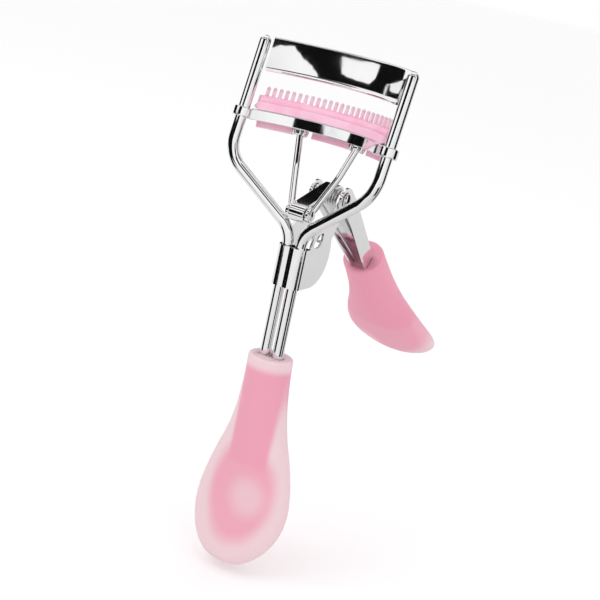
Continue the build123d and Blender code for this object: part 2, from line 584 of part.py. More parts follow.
# ---- grips: soft moulded spoons over the cores, dished on the outer face ----
dish_r = 34.0
dish_s = 0.70
dish_depth = 0.6
dish_centre = (0, grip_axis_offset(dish_s) + grip_half_thickness(dish_s) - dish_depth + dish_r)
with BuildPart() as handle_grip:
    for station, half_width, half_thick, bow in grip_stations(GRIP_START):
        with BuildSketch(main_base.offset(station)):
            with Locations((0, bow)):
                Ellipse(half_width, half_thick)
    loft()
    with Locations(main_base.offset(dish_s * GRIP_LENGTH).location * Location((dish_centre[0], dish_centre[1], 0))):
        Sphere(dish_r, mode=Mode.SUBTRACT)
    with BuildSketch(main_base.offset(core_start - SNUG)):
        RectangleRounded(2 * (CORE_HALF_WIDTH + SNUG), 2 * (CORE_HALF_THICK + SNUG), CORE_HALF_THICK * 0.85 + SNUG)
    extrude(amount=CORE_LENGTH + 2 * SNUG, mode=Mode.SUBTRACT)
    with BuildSketch(main_base):
        SlotCenterToCenter(WIRE_SPACING, 2 * (wire_r + 0.25))
    extrude(amount=core_start + 1, mode=Mode.SUBTRACT)
handle_grip.part.label = "handle_grip"
export_step(handle_grip.part, "parts/handle_grip.step")

with BuildPart() as lever_grip:
    for station, half_width, half_thick, bow in grip_stations(LEVER_GRIP_START):
        with BuildSketch(lever_base.offset(station)):
            with Locations((0, bow)):
                Ellipse(half_width, half_thick)
    loft()
    with Locations(lever_base.offset(dish_s * GRIP_LENGTH).location * Location((dish_centre[0], dish_centre[1], 0))):
        Sphere(dish_r, mode=Mode.SUBTRACT)
    with BuildSketch(channel_centre.offset(LEVER_MOUTH + 0.8 - SNUG)):
        RectangleRounded(2 * (lever_core_half + SNUG), 2 * (lever_core_deep + SNUG), 1.2 + SNUG)
    extrude(amount=CORE_LENGTH + 2 * SNUG, mode=Mode.SUBTRACT)
    with BuildSketch(channel_centre.offset(LEVER_MOUTH - 6)):
        Rectangle(2 * (LEVER_TAIL_HALF_WIDTH + 0.25), channel_depth + 0.5)
    extrude(amount=8, mode=Mode.SUBTRACT)
lever_grip.part.label = "lever_grip"
export_step(lever_grip.part, "parts/lever_grip.step")
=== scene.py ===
"""Looks of a hand-held eyelash curler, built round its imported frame."""

import logging
import math
from dataclasses import dataclass, field
from enum import Enum
from typing import Any, Callable, Sequence

import bmesh
import bpy
import numpy as np
from mathutils import Matrix, Vector


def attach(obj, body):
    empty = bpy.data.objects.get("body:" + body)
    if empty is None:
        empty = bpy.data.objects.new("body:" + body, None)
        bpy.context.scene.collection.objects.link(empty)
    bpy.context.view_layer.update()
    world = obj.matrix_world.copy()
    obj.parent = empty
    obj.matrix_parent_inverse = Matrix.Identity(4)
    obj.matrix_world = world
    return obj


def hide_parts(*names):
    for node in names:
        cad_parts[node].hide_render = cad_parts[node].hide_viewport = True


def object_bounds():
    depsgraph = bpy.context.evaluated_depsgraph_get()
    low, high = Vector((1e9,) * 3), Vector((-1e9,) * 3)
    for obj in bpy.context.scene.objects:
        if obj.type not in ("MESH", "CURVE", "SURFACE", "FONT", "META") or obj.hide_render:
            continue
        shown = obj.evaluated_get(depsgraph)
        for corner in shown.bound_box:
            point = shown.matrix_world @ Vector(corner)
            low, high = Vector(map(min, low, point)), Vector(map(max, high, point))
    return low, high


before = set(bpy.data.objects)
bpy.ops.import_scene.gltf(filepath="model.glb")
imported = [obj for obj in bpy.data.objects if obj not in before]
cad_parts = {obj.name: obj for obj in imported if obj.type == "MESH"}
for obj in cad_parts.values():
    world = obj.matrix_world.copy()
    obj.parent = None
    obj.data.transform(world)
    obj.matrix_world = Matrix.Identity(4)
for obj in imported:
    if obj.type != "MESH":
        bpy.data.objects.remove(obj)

MM = 0.001
LOG = logging.getLogger("eyelash_curler")
Point = tuple[float, float, float]
Outline = list[tuple[float, float]]
CAD_LOW, CAD_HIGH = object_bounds()


# ---------------------------------------------------------------- mesh tools


def unit(vector: Sequence[float]) -> np.ndarray:
    """Vector of length one.

    Args:
        vector: Any non-zero vector.

    Returns:
        The same direction with length one.
    """
    array = np.asarray(vector, float)
    return array / np.linalg.norm(array)


def rounded(outline: Outline, radius: float, steps: int = 4) -> Outline:
    """Outline with each corner rounded.

    Args:
        outline: Closed polygon corners in order.
        radius: Corner radius, cut down where a side is short.
        steps: Pieces in each rounded corner.

    Returns:
        The closed polygon with rounded corners.
    """
    result: Outline = []
    count = len(outline)
    for index, corner in enumerate(outline):
        here = np.array(corner, float)
        before = np.array(outline[index - 1], float) - here
        after = np.array(outline[(index + 1) % count], float) - here
        reach = min(radius, 0.45 * np.linalg.norm(before), 0.45 * np.linalg.norm(after))
        start = here + unit(before) * reach
        end = here + unit(after) * reach
        flat = here + unit(before) * (reach * 1.08)
        result.append((float(flat[0]), float(flat[1])))
        for step in range(steps + 1):
            share = step / steps
            point = (1 - share) ** 2 * start + 2 * share * (1 - share) * here + share**2 * end
            result.append((float(point[0]), float(point[1])))
        flat = here + unit(after) * (reach * 1.08)
        result.append((float(flat[0]), float(flat[1])))
    return result


def bent_path(corners: Sequence[Point], radii: Sequence[float], steps: int = 14) -> list[np.ndarray]:
    """Wire centre line with an arc at each inner corner.

    Args:
        corners: Corner points of the wire.
        radii: Bend radius of each inner corner.
        steps: Pieces in each bend.

    Returns:
        Points along the centre line.
    """
    points = [np.array(corners[0], float)]
    for index, radius in enumerate(radii, start=1):
        corner = np.array(corners[index], float)
        back = unit(np.array(corners[index - 1], float) - corner)
        ahead = unit(np.array(corners[index + 1], float) - corner)
        half = math.acos(float(np.clip(back @ ahead, -1, 1))) / 2
        centre = corner + unit(back + ahead) * (radius / math.sin(half))
        enter = corner + back * (radius / math.tan(half))
        leave = corner + ahead * (radius / math.tan(half))
        arm_in, arm_out = enter - centre, leave - centre
        sweep = math.acos(float(np.clip(unit(arm_in) @ unit(arm_out), -1, 1)))
        for step in range(steps + 1):
            share = step / steps
            first = math.sin((1 - share) * sweep) / math.sin(sweep)
            second = math.sin(share * sweep) / math.sin(sweep)
            points.append(centre + arm_in * first + arm_out * second)
    points.append(np.array(corners[-1], float))
    return points


class Shell:
    """Mesh under construction, in millimetres."""

    def __init__(self) -> None:
        """Starts with no faces."""
        self.points: list[np.ndarray] = []
        self.faces: list[list[int]] = []

    def loft(self, rings: Sequence[Sequence[Sequence[float]]], closed_path: bool = False) -> "Shell":
        """Skins a row of rings that have the same number of points.

        Args:
            rings: Rings in order.
            closed_path: True if the last ring meets the first one.

        Returns:
            This shell.
        """
        base = len(self.points)
        size = len(rings[0])
        for ring in rings:
            self.points.extend(np.asarray(point, float) for point in ring)
        spans = len(rings) if closed_path else len(rings) - 1
        for span in range(spans):
            low = base + span * size
            high = base + (span + 1) % len(rings) * size
            for side in range(size):
                after = (side + 1) % size
                self.faces.append([low + side, low + after, high + after, high + side])
        if not closed_path:
            last = base + (len(rings) - 1) * size
            self.faces.append([base + side for side in reversed(range(size))])
            self.faces.append([last + side for side in range(size)])
        return self

    def tube(self, path: Sequence[Sequence[float]], radii: float | Sequence[float],
             sides: int = 32) -> "Shell":
        """Round tube along a path.

        Args:
            path: Centre points.
            radii: One radius, or one for each point.
            sides: Sides of the tube.

        Returns:
            This shell.
        """
        centres = [np.asarray(point, float) for point in path]
        sizes = [radii] * len(centres) if isinstance(radii, (int, float)) else list(radii)
        last = len(centres) - 1
        tangents = [unit(centres[min(i + 1, last)] - centres[max(i - 1, 0)]) for i in range(last + 1)]
        guide = np.array((1.0, 0, 0)) if abs(tangents[0][0]) < 0.8 else np.array((0, 1.0, 0))
        normal = unit(np.cross(tangents[0], guide))
        rings = []
        for centre, tangent, radius in zip(centres, tangents, sizes):
            normal = unit(normal - tangent * (normal @ tangent))
            side = np.cross(tangent, normal)
            angles = np.linspace(0, 2 * math.pi, sides, endpoint=False)
            rings.append([centre + radius * (math.cos(a) * normal + math.sin(a) * side) for a in angles])
        return self.loft(rings)

    def turned(self, profile: Sequence[tuple[float, float]], origin: Sequence[float], axis: Sequence[float],
               sides: int = 40, ring: bool = False) -> "Shell":
        """Turned piece: a profile spun round an axis.

        Args:
            profile: Pairs of length along the axis and radius.
            origin: Point on the axis where the length is zero.
            axis: Direction of the axis.
            sides: Steps round the axis.
            ring: True if the profile is a closed loop clear of the axis.

        Returns:
            This shell.
        """
        along = unit(axis)
        guide = np.array((0, 0, 1.0)) if abs(along[2]) < 0.8 else np.array((0, 1.0, 0))
        first = unit(np.cross(along, guide))
        second = np.cross(along, first)
        start = np.asarray(origin, float)
        angles = np.linspace(0, 2 * math.pi, sides, endpoint=False)
        if ring:
            rings = [[start + along * length + radius * (math.cos(a) * first + math.sin(a) * second)
                      for length, radius in profile] for a in angles]
            return self.loft(rings, closed_path=True)
        rings = [[start + along * length + radius * (math.cos(a) * first + math.sin(a) * second)
                  for a in angles] for length, radius in profile]
        return self.loft(rings)

    def plate(self, outline: Outline, low: float, high: float, edge: float,
              place: Callable[[float, float, float], Sequence[float]]) -> "Shell":
        """Flat plate with eased edges.

        Args:
            outline: Plate outline.
            low: Lower face height.
            high: Upper face height.
            edge: Width of the eased edge.
            place: Turns outline x, y and height into a point.

        Returns:
            This shell.
        """
        centre = np.mean(np.array(outline), axis=0)
        size = float(np.max(np.abs(np.array(outline) - centre)))
        inset = 1 - edge / size
        rings = []
        for height, scale in ((low, inset), (low + edge, 1.0), (high - edge, 1.0), (high, inset)):
            rings.append([place(*(centre + (np.array(p) - centre) * scale), height) for p in outline])
        return self.loft(rings)

    def piece(self, name: str, material: bpy.types.Material, sharp_degrees: float = 38.0) -> bpy.types.Object:
        """Finished object with its place in its mesh.

        Args:
            name: Object name.
            material: Its finish.
            sharp_degrees: Edges sharper than this stay crisp.

        Returns:
            The new object.
        """
        mesh = bpy.data.meshes.new(name)
        mesh.from_pydata([tuple(point * MM) for point in self.points], [], self.faces)
        work = bmesh.new()
        work.from_mesh(mesh)
        bmesh.ops.remove_doubles(work, verts=work.verts, dist=1e-7)
        bmesh.ops.recalc_face_normals(work, faces=work.faces)
        work.to_mesh(mesh)
        work.free()
        mesh.shade_smooth()
        mesh.set_sharp_from_angle(angle=math.radians(sharp_degrees))
        mesh.materials.append(material)
        made = bpy.data.objects.new(name, mesh)
        bpy.context.scene.collection.objects.link(made)
        return made


def softened_copy(node: str, name: str, material: bpy.types.Material, edge: float) -> bpy.types.Object:
    """Merged copy of a frame node with its edges eased.

    Args:
        node: Frame node to copy.
        name: Name of the copy.
        material: Its finish.
        edge: Width of the eased edge, in millimetres.

    Returns:
        The new object, with a live Bevel modifier.
    """
    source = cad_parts[node]
    made = bpy.data.objects.new(name, source.data.copy())
    bpy.context.scene.collection.objects.link(made)
    work = bmesh.new()
    work.from_mesh(made.data)
    bmesh.ops.remove_doubles(work, verts=work.verts, dist=2e-6)
    bmesh.ops.dissolve_limit(work, angle_limit=math.radians(0.5), verts=work.verts, edges=work.edges)
    work.to_mesh(made.data)
    work.free()
    made.data.materials.clear()
    made.data.materials.append(material)
    made.data.shade_smooth()
    made.data.set_sharp_from_angle(angle=math.radians(28))
    bevel = made.modifiers.new("eased edges", "BEVEL")
    bevel.width = edge * MM
    bevel.segments = 3
    bevel.limit_method = "ANGLE"
    bevel.angle_limit = math.radians(28)
    bevel.use_clamp_overlap = True
    bevel.harden_normals = True
    return made


def notched(made: bpy.types.Object, boxes: Sequence[tuple[Point, Point]]) -> None:
    """Cuts boxes out of a piece.

    Args:
        made: The piece, changed in place.
        boxes: Centre and full size of each box, in millimetres.
    """
    cutters = []
    corners = ((-1, -1), (1, -1), (1, 1), (-1, 1))
    for centre, size in boxes:
        half = [length / 2 for length in size]
        shell = Shell()
        shell.loft([[(centre[0] + x * half[0], centre[1] + y * half[1], centre[2] + z * half[2])
                     for x, y in corners] for z in (-1, 1)])
        cutter = shell.piece("notch_cutter", made.data.materials[0])
        cut = made.modifiers.new("notch", "BOOLEAN")
        cut.operation = "DIFFERENCE"
        cut.solver = "EXACT"
        cut.object = cutter
        cutters.append(cutter)
    bpy.context.view_layer.update()
    mesh = bpy.data.meshes.new_from_object(made.evaluated_get(bpy.context.evaluated_depsgraph_get()))
    made.modifiers.clear()
    made.data = mesh
    made.data.shade_smooth()
    made.data.set_sharp_from_angle(angle=math.radians(40))
    for cutter in cutters:
        bpy.data.objects.remove(cutter)


def rounded_end(start: float, reach: float, least: float) -> Callable[[float], float]:
    """Taper that rounds off both ends of a strip.

    Args:
        start: Share of the half span where the rounding starts.
        reach: Share of the half span over which it would close.
        least: Square of the smallest scale that is left.

    Returns:
        Function from a share of the half span to the scale of the section there.
    """

    def scale(share: float) -> float:
        """Scale of the section at a share of the half span."""
        return math.sqrt(max(least, 1 - ((share - start) / reach) ** 2)) if share > start else 1.0

    return scale


def beside(hinge: np.ndarray) -> Callable[[float, float, float], Point]:
    """Placing of a plate that stands across X at a hinge.

    Args:
        hinge: Hinge point.

    Returns:
        Function from outline Y, outline Z and X to a point.
    """

    def place(y: float, z: float, x: float) -> Point:
        """Point at a place on the plate."""
        return x, hinge[1] + y, hinge[2] + z

    return place


# ---------------------------------------------------------------- shader tools


class Shade:
    """A node socket that can be used in a Python expression."""

    def __init__(self, graph: "NodeWork", socket: bpy.types.NodeSocket) -> None:
        """Wraps one output socket of a graph."""
        self.graph = graph
        self.socket = socket

    def _maths(self, operation: str, first: Any, second: Any = None) -> "Shade":
        """Adds one Math node."""
        values = {0: first} if second is None else {0: first, 1: second}
        return self.graph.out("ShaderNodeMath", {"operation": operation}, values)

    def __add__(self, other: Any) -> "Shade":
        """Sum."""
        return self._maths("ADD", self, other)

    def __radd__(self, other: Any) -> "Shade":
        """Sum with a number first."""
        return self._maths("ADD", other, self)

    def __sub__(self, other: Any) -> "Shade":
        """Difference."""
        return self._maths("SUBTRACT", self, other)

    def __rsub__(self, other: Any) -> "Shade":
        """Difference with a number first."""
        return self._maths("SUBTRACT", other, self)

    def __mul__(self, other: Any) -> "Shade":
        """Product."""
        return self._maths("MULTIPLY", self, other)

    def __rmul__(self, other: Any) -> "Shade":
        """Product with a number first."""
        return self._maths("MULTIPLY", other, self)

    def __abs__(self) -> "Shade":
        """Size without sign."""
        return self._maths("ABSOLUTE", self)

    def root(self) -> "Shade":
        """Square root."""
        return self._maths("SQRT", self)

    def smooth(self, low: float, high: float) -> "Shade":
        """Smooth step from 0 at low to 1 at high."""
        return self.graph.out("ShaderNodeMapRange", {"interpolation_type": "SMOOTHSTEP", "clamp": True},
                              {"Value": self, "From Min": low, "From Max": high})


class NodeWork:
    """A node tree, with one method that adds any node."""

    def __init__(self, tree: bpy.types.NodeTree) -> None:
        """Keeps the tree."""
        self.tree = tree

    def node(self, kind: str, settings: dict[str, Any] | None = None,
             values: dict[str | int, Any] | None = None) -> bpy.types.Node:
        """Adds any node.

        Args:
            kind: Node type.
            settings: Properties, set first.
            values: Socket values, links or lists of links, by name or number.

        Returns:
            The new node.
        """
        made = self.tree.nodes.new(kind)
        for key, value in (settings or {}).items():
            setattr(made, key, value)
        for key, value in (values or {}).items():
            socket = made.inputs[key]
            items = value if isinstance(value, list) else [value]
            wrapped = [item for item in items if isinstance(item, Shade)]
            for item in wrapped:
                self.tree.links.new(item.socket, socket)
            if not wrapped:
                socket.default_value = value
        return made

    def out(self, kind: str, settings: dict[str, Any] | None = None,
            values: dict[str | int, Any] | None = None, socket: str | int = 0) -> Shade:
        """Adds a node and wraps one of its outputs.

        Args:
            kind: Node type.
            settings: Properties.
            values: Socket values or links.
            socket: Output name or number.

        Returns:
            The wrapped output.
        """
        return Shade(self, self.node(kind, settings, values).outputs[socket])


class Graph(NodeWork):
    """Node graph of one material."""

    def __init__(self, name: str) -> None:
        """Makes an empty material with an output node.

        Args:
            name: Material name.
        """
        self.material = bpy.data.materials.new(name)
        self.material.use_nodes = True
        super().__init__(self.material.node_tree)
        self.tree.nodes.clear()
        self.output = self.node("ShaderNodeOutputMaterial")

    def position(self) -> Shade:
        """Place on the object, in metres."""
        return self.out("ShaderNodeTexCoord", socket="Object")

    def noise(self, scale: float, detail: float = 2.0, stretch: Point = (1, 1, 1)) -> Shade:
        """Noise from 0 to 1, with scale in cells per millimetre and a stretch per axis."""
        placed = self.out("ShaderNodeMapping", {}, {"Vector": self.position(), "Scale": stretch})
        return self.out("ShaderNodeTexNoise", {}, {"Vector": placed, "Scale": scale / MM, "Detail": detail})

    def along(self, origin: Sequence[float], direction: Sequence[float]) -> Shade:
        """Length along a direction from a point, in millimetres.

        Args:
            origin: Point where the length is zero, in millimetres.
            direction: Direction of length one.

        Returns:
            The length.
        """
        shift = self.out("ShaderNodeVectorMath", {"operation": "SUBTRACT"},
                         {0: self.position(), 1: tuple(float(c) * MM for c in origin)})
        length = self.out("ShaderNodeVectorMath", {"operation": "DOT_PRODUCT"},
                          {0: shift, 1: tuple(float(c) for c in direction)}, socket="Value")
        return length * (1 / MM)

    def mix(self, factor: Shade, first: Any, second: Any) -> Shade:
        """Colour between two colours."""
        return self.out("ShaderNodeMix", {"data_type": "RGBA"}, {0: factor, 6: first, 7: second}, socket=2)

    def finish(self, surface: dict[str, Any], bump: Shade | None = None, strength: float = 0.1,
               distance: float = 0.02) -> bpy.types.Material:
        """Adds the surface shader and closes the graph.

        Args:
            surface: Inputs of the surface shader.
            bump: Height field, if any.
            strength: Bump strength.
            distance: Bump height, in millimetres.

        Returns:
            The material.
        """
        values = dict(surface)
        if bump is not None:
            values["Normal"] = self.out("ShaderNodeBump", {},
                                        {"Height": bump, "Strength": strength, "Distance": distance * MM})
        shader = self.node("ShaderNodeBsdfPrincipled", {}, values)
        self.tree.links.new(shader.outputs[0], self.output.inputs[0])
        return self.material


def linear(red: int, green: int, blue: int) -> tuple[float, float, float, float]:
    """Linear colour from 0 to 255 display values.

    Args:
        red: Red, 0 to 255.
        green: Green, 0 to 255.
        blue: Blue, 0 to 255.

    Returns:
        Linear red, green, blue and alpha.
    """
    parts = []
    for value in (red, green, blue):
        share = value / 255
        parts.append(share / 12.92 if share <= 0.04045 else ((share + 0.055) / 1.055) ** 2.4)
    return (*parts, 1.0)


@dataclass(frozen=True)
class PolishedMetal:
    """Plated metal with faint polishing marks."""

    name: str
    tint: tuple[float, float, float, float]
    gloss: float
    marks: Point = (1, 1, 1)
    haze: float = 0.05
    groove_half: float = 0.0

    def material(self) -> bpy.types.Material:
        """Builds the finish.

        Returns:
            The material.
        """
        graph = Graph(self.name)
        cloud = graph.noise(0.22, 3)
        grain = graph.noise(2.6, 4, self.marks)
        rough = cloud.smooth(0.45, 0.8) * self.haze + grain * (self.haze * 0.5) + self.gloss
        tone = graph.mix(cloud.smooth(0.3, 0.8), self.tint, tuple(c * 0.97 for c in self.tint[:3]) + (1.0,))
        surface = {"Base Color": tone, "Metallic": 1.0, "Roughness": rough}
        if self.groove_half:
            groove = abs(graph.along((0, 0, 0), (1, 0, 0))).smooth(0.0, self.groove_half)
            return graph.finish(surface, groove + grain * 0.01, 1.0, 0.3)
        return graph.finish(surface, grain, 0.05, 0.004)


@dataclass(frozen=True)
class GripRubber:
    """Soft translucent grip: strong colour over the core, pale at the rim and the mouth, with a painted
    highlight on the dish.
    """

    name: str
    deep: tuple[float, float, float, float]
    pale: tuple[float, float, float, float]
    origin: Point
    axis: Point
    neck_half: float = 4.5
    bowl_half: float = 7.8
    bowl_end: float = 44.6
    mouth_end: float = 6.6
    # centre of the highlight painted on the dish
    highlight_centre: tuple[float, float] = (1.8, 34.0)
    shift: float = 0.8
    # size and strength of the highlight painted on the dish
    highlight_radius: float = 4.8
    highlight_share: float = 0.62

    def material(self) -> bpy.types.Material:
        """Builds the finish.

        Returns:
            The material.
        """
        graph = Graph(self.name)
        along = graph.along(self.origin, self.axis)
        side = graph.along((self.shift, 0, 0), (1, 0, 0))
        cloud = (graph.noise(0.11, 2) - 0.5) * 2.4
        neck = 1 - (abs(side) + cloud * 0.25).smooth(self.neck_half - 0.5, self.neck_half + 0.6)
        neck = neck * (1 - along.smooth(26.0, 30.5))
        wide, tall = side * (1 / self.bowl_half), (along - (self.bowl_end - 11.0)) * (1 / 11.0)
        bowl = 1 - ((wide * wide + tall * tall).root() + cloud * 0.05).smooth(0.78, 1.18)
        # painted highlight: the base colour is lightened towards the middle of the dish
        across, down = side - self.highlight_centre[0], along - self.highlight_centre[1]
        painted_highlight = 1 - ((across * across + down * down).root() + cloud * 0.6).smooth(
            self.highlight_radius * 0.35, self.highlight_radius * 1.25)
        both = 1 - (1 - neck) * (1 - bowl)
        depth = both * along.smooth(self.mouth_end - 2, self.mouth_end) * (1 - painted_highlight * self.highlight_share)
        insert = 1 - along.smooth(26.5, 28.2)
        tone = graph.mix(depth * (0.88 + insert * 0.12), self.pale, self.deep)
        fine = graph.noise(1.4, 3)
        return graph.finish({"Base Color": tone, "Roughness": 0.42 + fine * 0.12, "Specular IOR Level": 0.35,
                             "Subsurface Weight": 0.25, "Subsurface Radius": (0.0016, 0.0010, 0.0011),
                             "Subsurface Scale": 1.0}, fine, 0.08, 0.01)


@dataclass(frozen=True)
class MouldedPlastic:
    """Glossy moulded plastic or silicone."""

    name: str
    light: tuple[float, float, float, float]
    dark: tuple[float, float, float, float]
    roughness: float
    coat: float

    def material(self) -> bpy.types.Material:
        """Builds the finish.

        Returns:
            The material.
        """
        graph = Graph(self.name)
        flow = graph.noise(0.35, 3)
        fine = graph.noise(3.0, 3)
        tone = graph.mix(flow.smooth(0.3, 0.7), self.light, self.dark)
        surface = {"Base Color": tone, "Roughness": self.roughness + fine * 0.08, "Coat Weight": self.coat,
                   "Coat Roughness": 0.1, "Subsurface Weight": 0.3, "Subsurface Scale": 1.0,
                   "Subsurface Radius": (0.0012, 0.0006, 0.0008)}
        return graph.finish(surface, fine, 0.06, 0.006)


@dataclass(frozen=True)
class StudioPaper:
    """Pale backdrop paper with a faint tooth."""

    name: str
    tone: tuple[float, float, float, float]

    def material(self) -> bpy.types.Material:
        """Builds the finish.

        Returns:
            The material.
        """
        graph = Graph(self.name)
        tooth = graph.noise(0.4, 4)
        surface = {"Base Color": self.tone, "Roughness": 0.9, "Specular IOR Level": 0.1}
        return graph.finish(surface, tooth, 0.02, 0.02)


class Finish(Enum):
    """Every finish of the curler, by material slot."""

    CHROME_WIRE = "chrome_wire"
    CHROME_SHEET = "chrome_sheet"
    RIVET_STEEL = "rivet_steel"
    SPRING_STEEL = "spring_steel"
    GRIP_SOFT = "grip_soft"
    GRIP_CORE = "grip_core"
    COMB_PLASTIC = "comb_plastic"
    PAD_SILICONE = "pad_silicone"


# ---------------------------------------------------------------- shared shape


@dataclass
class HeadShape:
    """Shape of the head: tilted wires and level lash curves. Lengths in millimetres."""

    link_height: float = 52.0
    half_width: float = 17.05
    tilt_degrees: float = 12.87
    forward: float = 6.12
    sagitta: float = 8.0
    radius: float = field(init=False)
    direction: np.ndarray = field(init=False)

    def __post_init__(self) -> None:
        """Works out the curve radius and the wire direction."""
        self.radius = (self.half_width**2 + self.sagitta**2) / (2 * self.sagitta)
        tilt = math.radians(self.tilt_degrees)
        self.direction = np.array((0, math.sin(tilt), math.cos(tilt)))

    def wire(self, x: float, t: float) -> np.ndarray:
        """Point on the head line, x across and t along the wires."""
        return np.array((x, -self.forward, self.link_height)) + self.direction * t

    def curve(self, angle: float, offset: float, t: float) -> np.ndarray:
        """Point on a lash curve.

        Args:
            angle: Angle round the curve from its middle, in radians.
            offset: Distance outside the curve.
            t: Height along the wires.

        Returns:
            The point.
        """
        base = self.wire(0, t)
        reach = self.radius + offset
        depth = self.sagitta - self.radius + reach * math.cos(angle)
        return base + np.array((reach * math.sin(angle), depth, 0))

    def half_angle(self, half_span: float) -> float:
        """Angle of the curve out to a half span, in radians."""
        return math.asin(half_span / self.radius)

    def strip(self, shell: Shell, section: Outline, half_span: float, steps: int = 96,
              taper: Callable[[float], float] | None = None) -> Shell:
        """Strip that follows the lash curve.

        Args:
            shell: Shell to add to.
            section: Outline of offset and height pairs.
            half_span: Half width that the strip reaches.
            steps: Pieces along the curve.
            taper: Scale of the section about its middle at each share of the span, or None.

        Returns:
            The shell.
        """
        limit = self.half_angle(half_span)
        middle = np.mean(np.array(section), axis=0)
        rings = []
        for step in range(steps + 1):
            share = -1 + 2 * step / steps
            scale = taper(abs(share)) if taper else 1.0
            ring = [middle + (np.array(p) - middle) * scale for p in section]
            rings.append([self.curve(share * limit, p[0], p[1]) for p in ring])
        return shell.loft(rings)


@dataclass
class CurlerPart:
    """A sub-assembly that knows the head shape and the finishes."""

    head: HeadShape
    finishes: dict[Finish, bpy.types.Material]

    def place(self, made: bpy.types.Object, body: str, slot: Finish, *nodes: str) -> bpy.types.Object:
        """Rides a piece on a body and hides the frame nodes that it replaces.

        Args:
            made: The piece.
            body: Body it moves with.
            slot: Not used.
            nodes: Frame nodes that it replaces.

        Returns:
            The piece.
        """
        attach(made, body)
        if nodes:
            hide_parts(*nodes)
        LOG.info("%s: %d faces on %s", made.name, len(made.data.polygons), body)
        return made


@dataclass
class WireFrame(CurlerPart):
    """Two bent wires, the curved plate at their tops and the collar bracket."""

    wire_diameter: float = 2.4
    spacing: float = 3.02
    shoulder_t: float = 9.56
    top_t: float = 33.4
    neck_drop: float = 2.85
    end_drop: float = 58.0
    shoulder_bend: float = 7.0
    neck_bend: float = 6.5
    plate_low_t: float = 27.5
    plate_high_t: float = 34.5
    plate_thick: float = 0.8
    plate_lip: float = 1.0
    lip_thick: float = 0.6
    plate_bulge: float = 0.14

    def build_wires(self) -> None:
        """Bends both frame wires."""
        radius = self.wire_diameter / 2
        for side, name in ((-1, "left"), (1, "right")):
            x = side * self.spacing / 2
            foot = (x, 0, self.head.link_height - self.end_drop)
            neck = (x, 0, self.head.link_height - self.neck_drop)
            corner = tuple(self.head.wire(side * self.head.half_width, self.shoulder_t))
            top = self.head.wire(side * self.head.half_width, self.top_t)
            path = bent_path((foot, neck, corner, tuple(top)), (self.neck_bend, self.shoulder_bend), 28)
            radii = [radius] * len(path)
            for step in range(1, 13):
                turn = math.pi / 2 * step / 12
                path.append(top + self.head.direction * radius * math.sin(turn))
                radii.append(max(radius * math.cos(turn), 0.01))
            made = Shell().tube(path, radii, 48).piece(
                f"bent_wire_{name}", self.finishes[Finish.CHROME_WIRE], 60)
            self.place(made, "frame", Finish.CHROME_WIRE, f"frame_wire_{name}")

    def build_plate(self) -> None:
        """Presses the curved plate with its returned lower lip."""
        half = self.plate_thick / 2
        low, high = self.plate_low_t, self.plate_high_t
        fall = high - low - self.lip_thick - 0.5
        face = [(-half + self.plate_bulge * (2 * share - 1) ** 2, high - 0.25 - fall * share)
                for share in np.linspace(0, 1, 13)]
        front = -half + self.plate_bulge
        section = rounded([(half, low), (half, high), (front, high)], 0.22)
        section = section[:-7] + [(front + 0.12, high), (front + 0.03, high - 0.09)]
        lip = -half - self.plate_lip
        section += face
        section += [(lip + 0.2, low + self.lip_thick), (lip, low + 0.4), (lip, low + 0.2), (lip + 0.2, low)]
        shell = self.head.strip(Shell(), section, self.head.half_width - 1.15, 120)
        made = shell.piece("pressing_plate", self.finishes[Finish.CHROME_SHEET], 40)
        self.place(made, "frame", Finish.CHROME_SHEET, "upper_plate")

    def build_collar(self) -> None:
        """Eases the edges of the folded collar bracket."""
        folded = PolishedMetal("chrome_collar", (0.93, 0.93, 0.935, 1.0), 0.045, groove_half=1.1).material()
        made = softened_copy("collar_bracket", "folded_collar", folded, 0.12)
        self.place(made, "frame", Finish.CHROME_SHEET, "collar_bracket")

    def build(self) -> None:
        """Builds the whole frame."""
        self.build_wires()
        self.build_plate()
        self.build_collar()


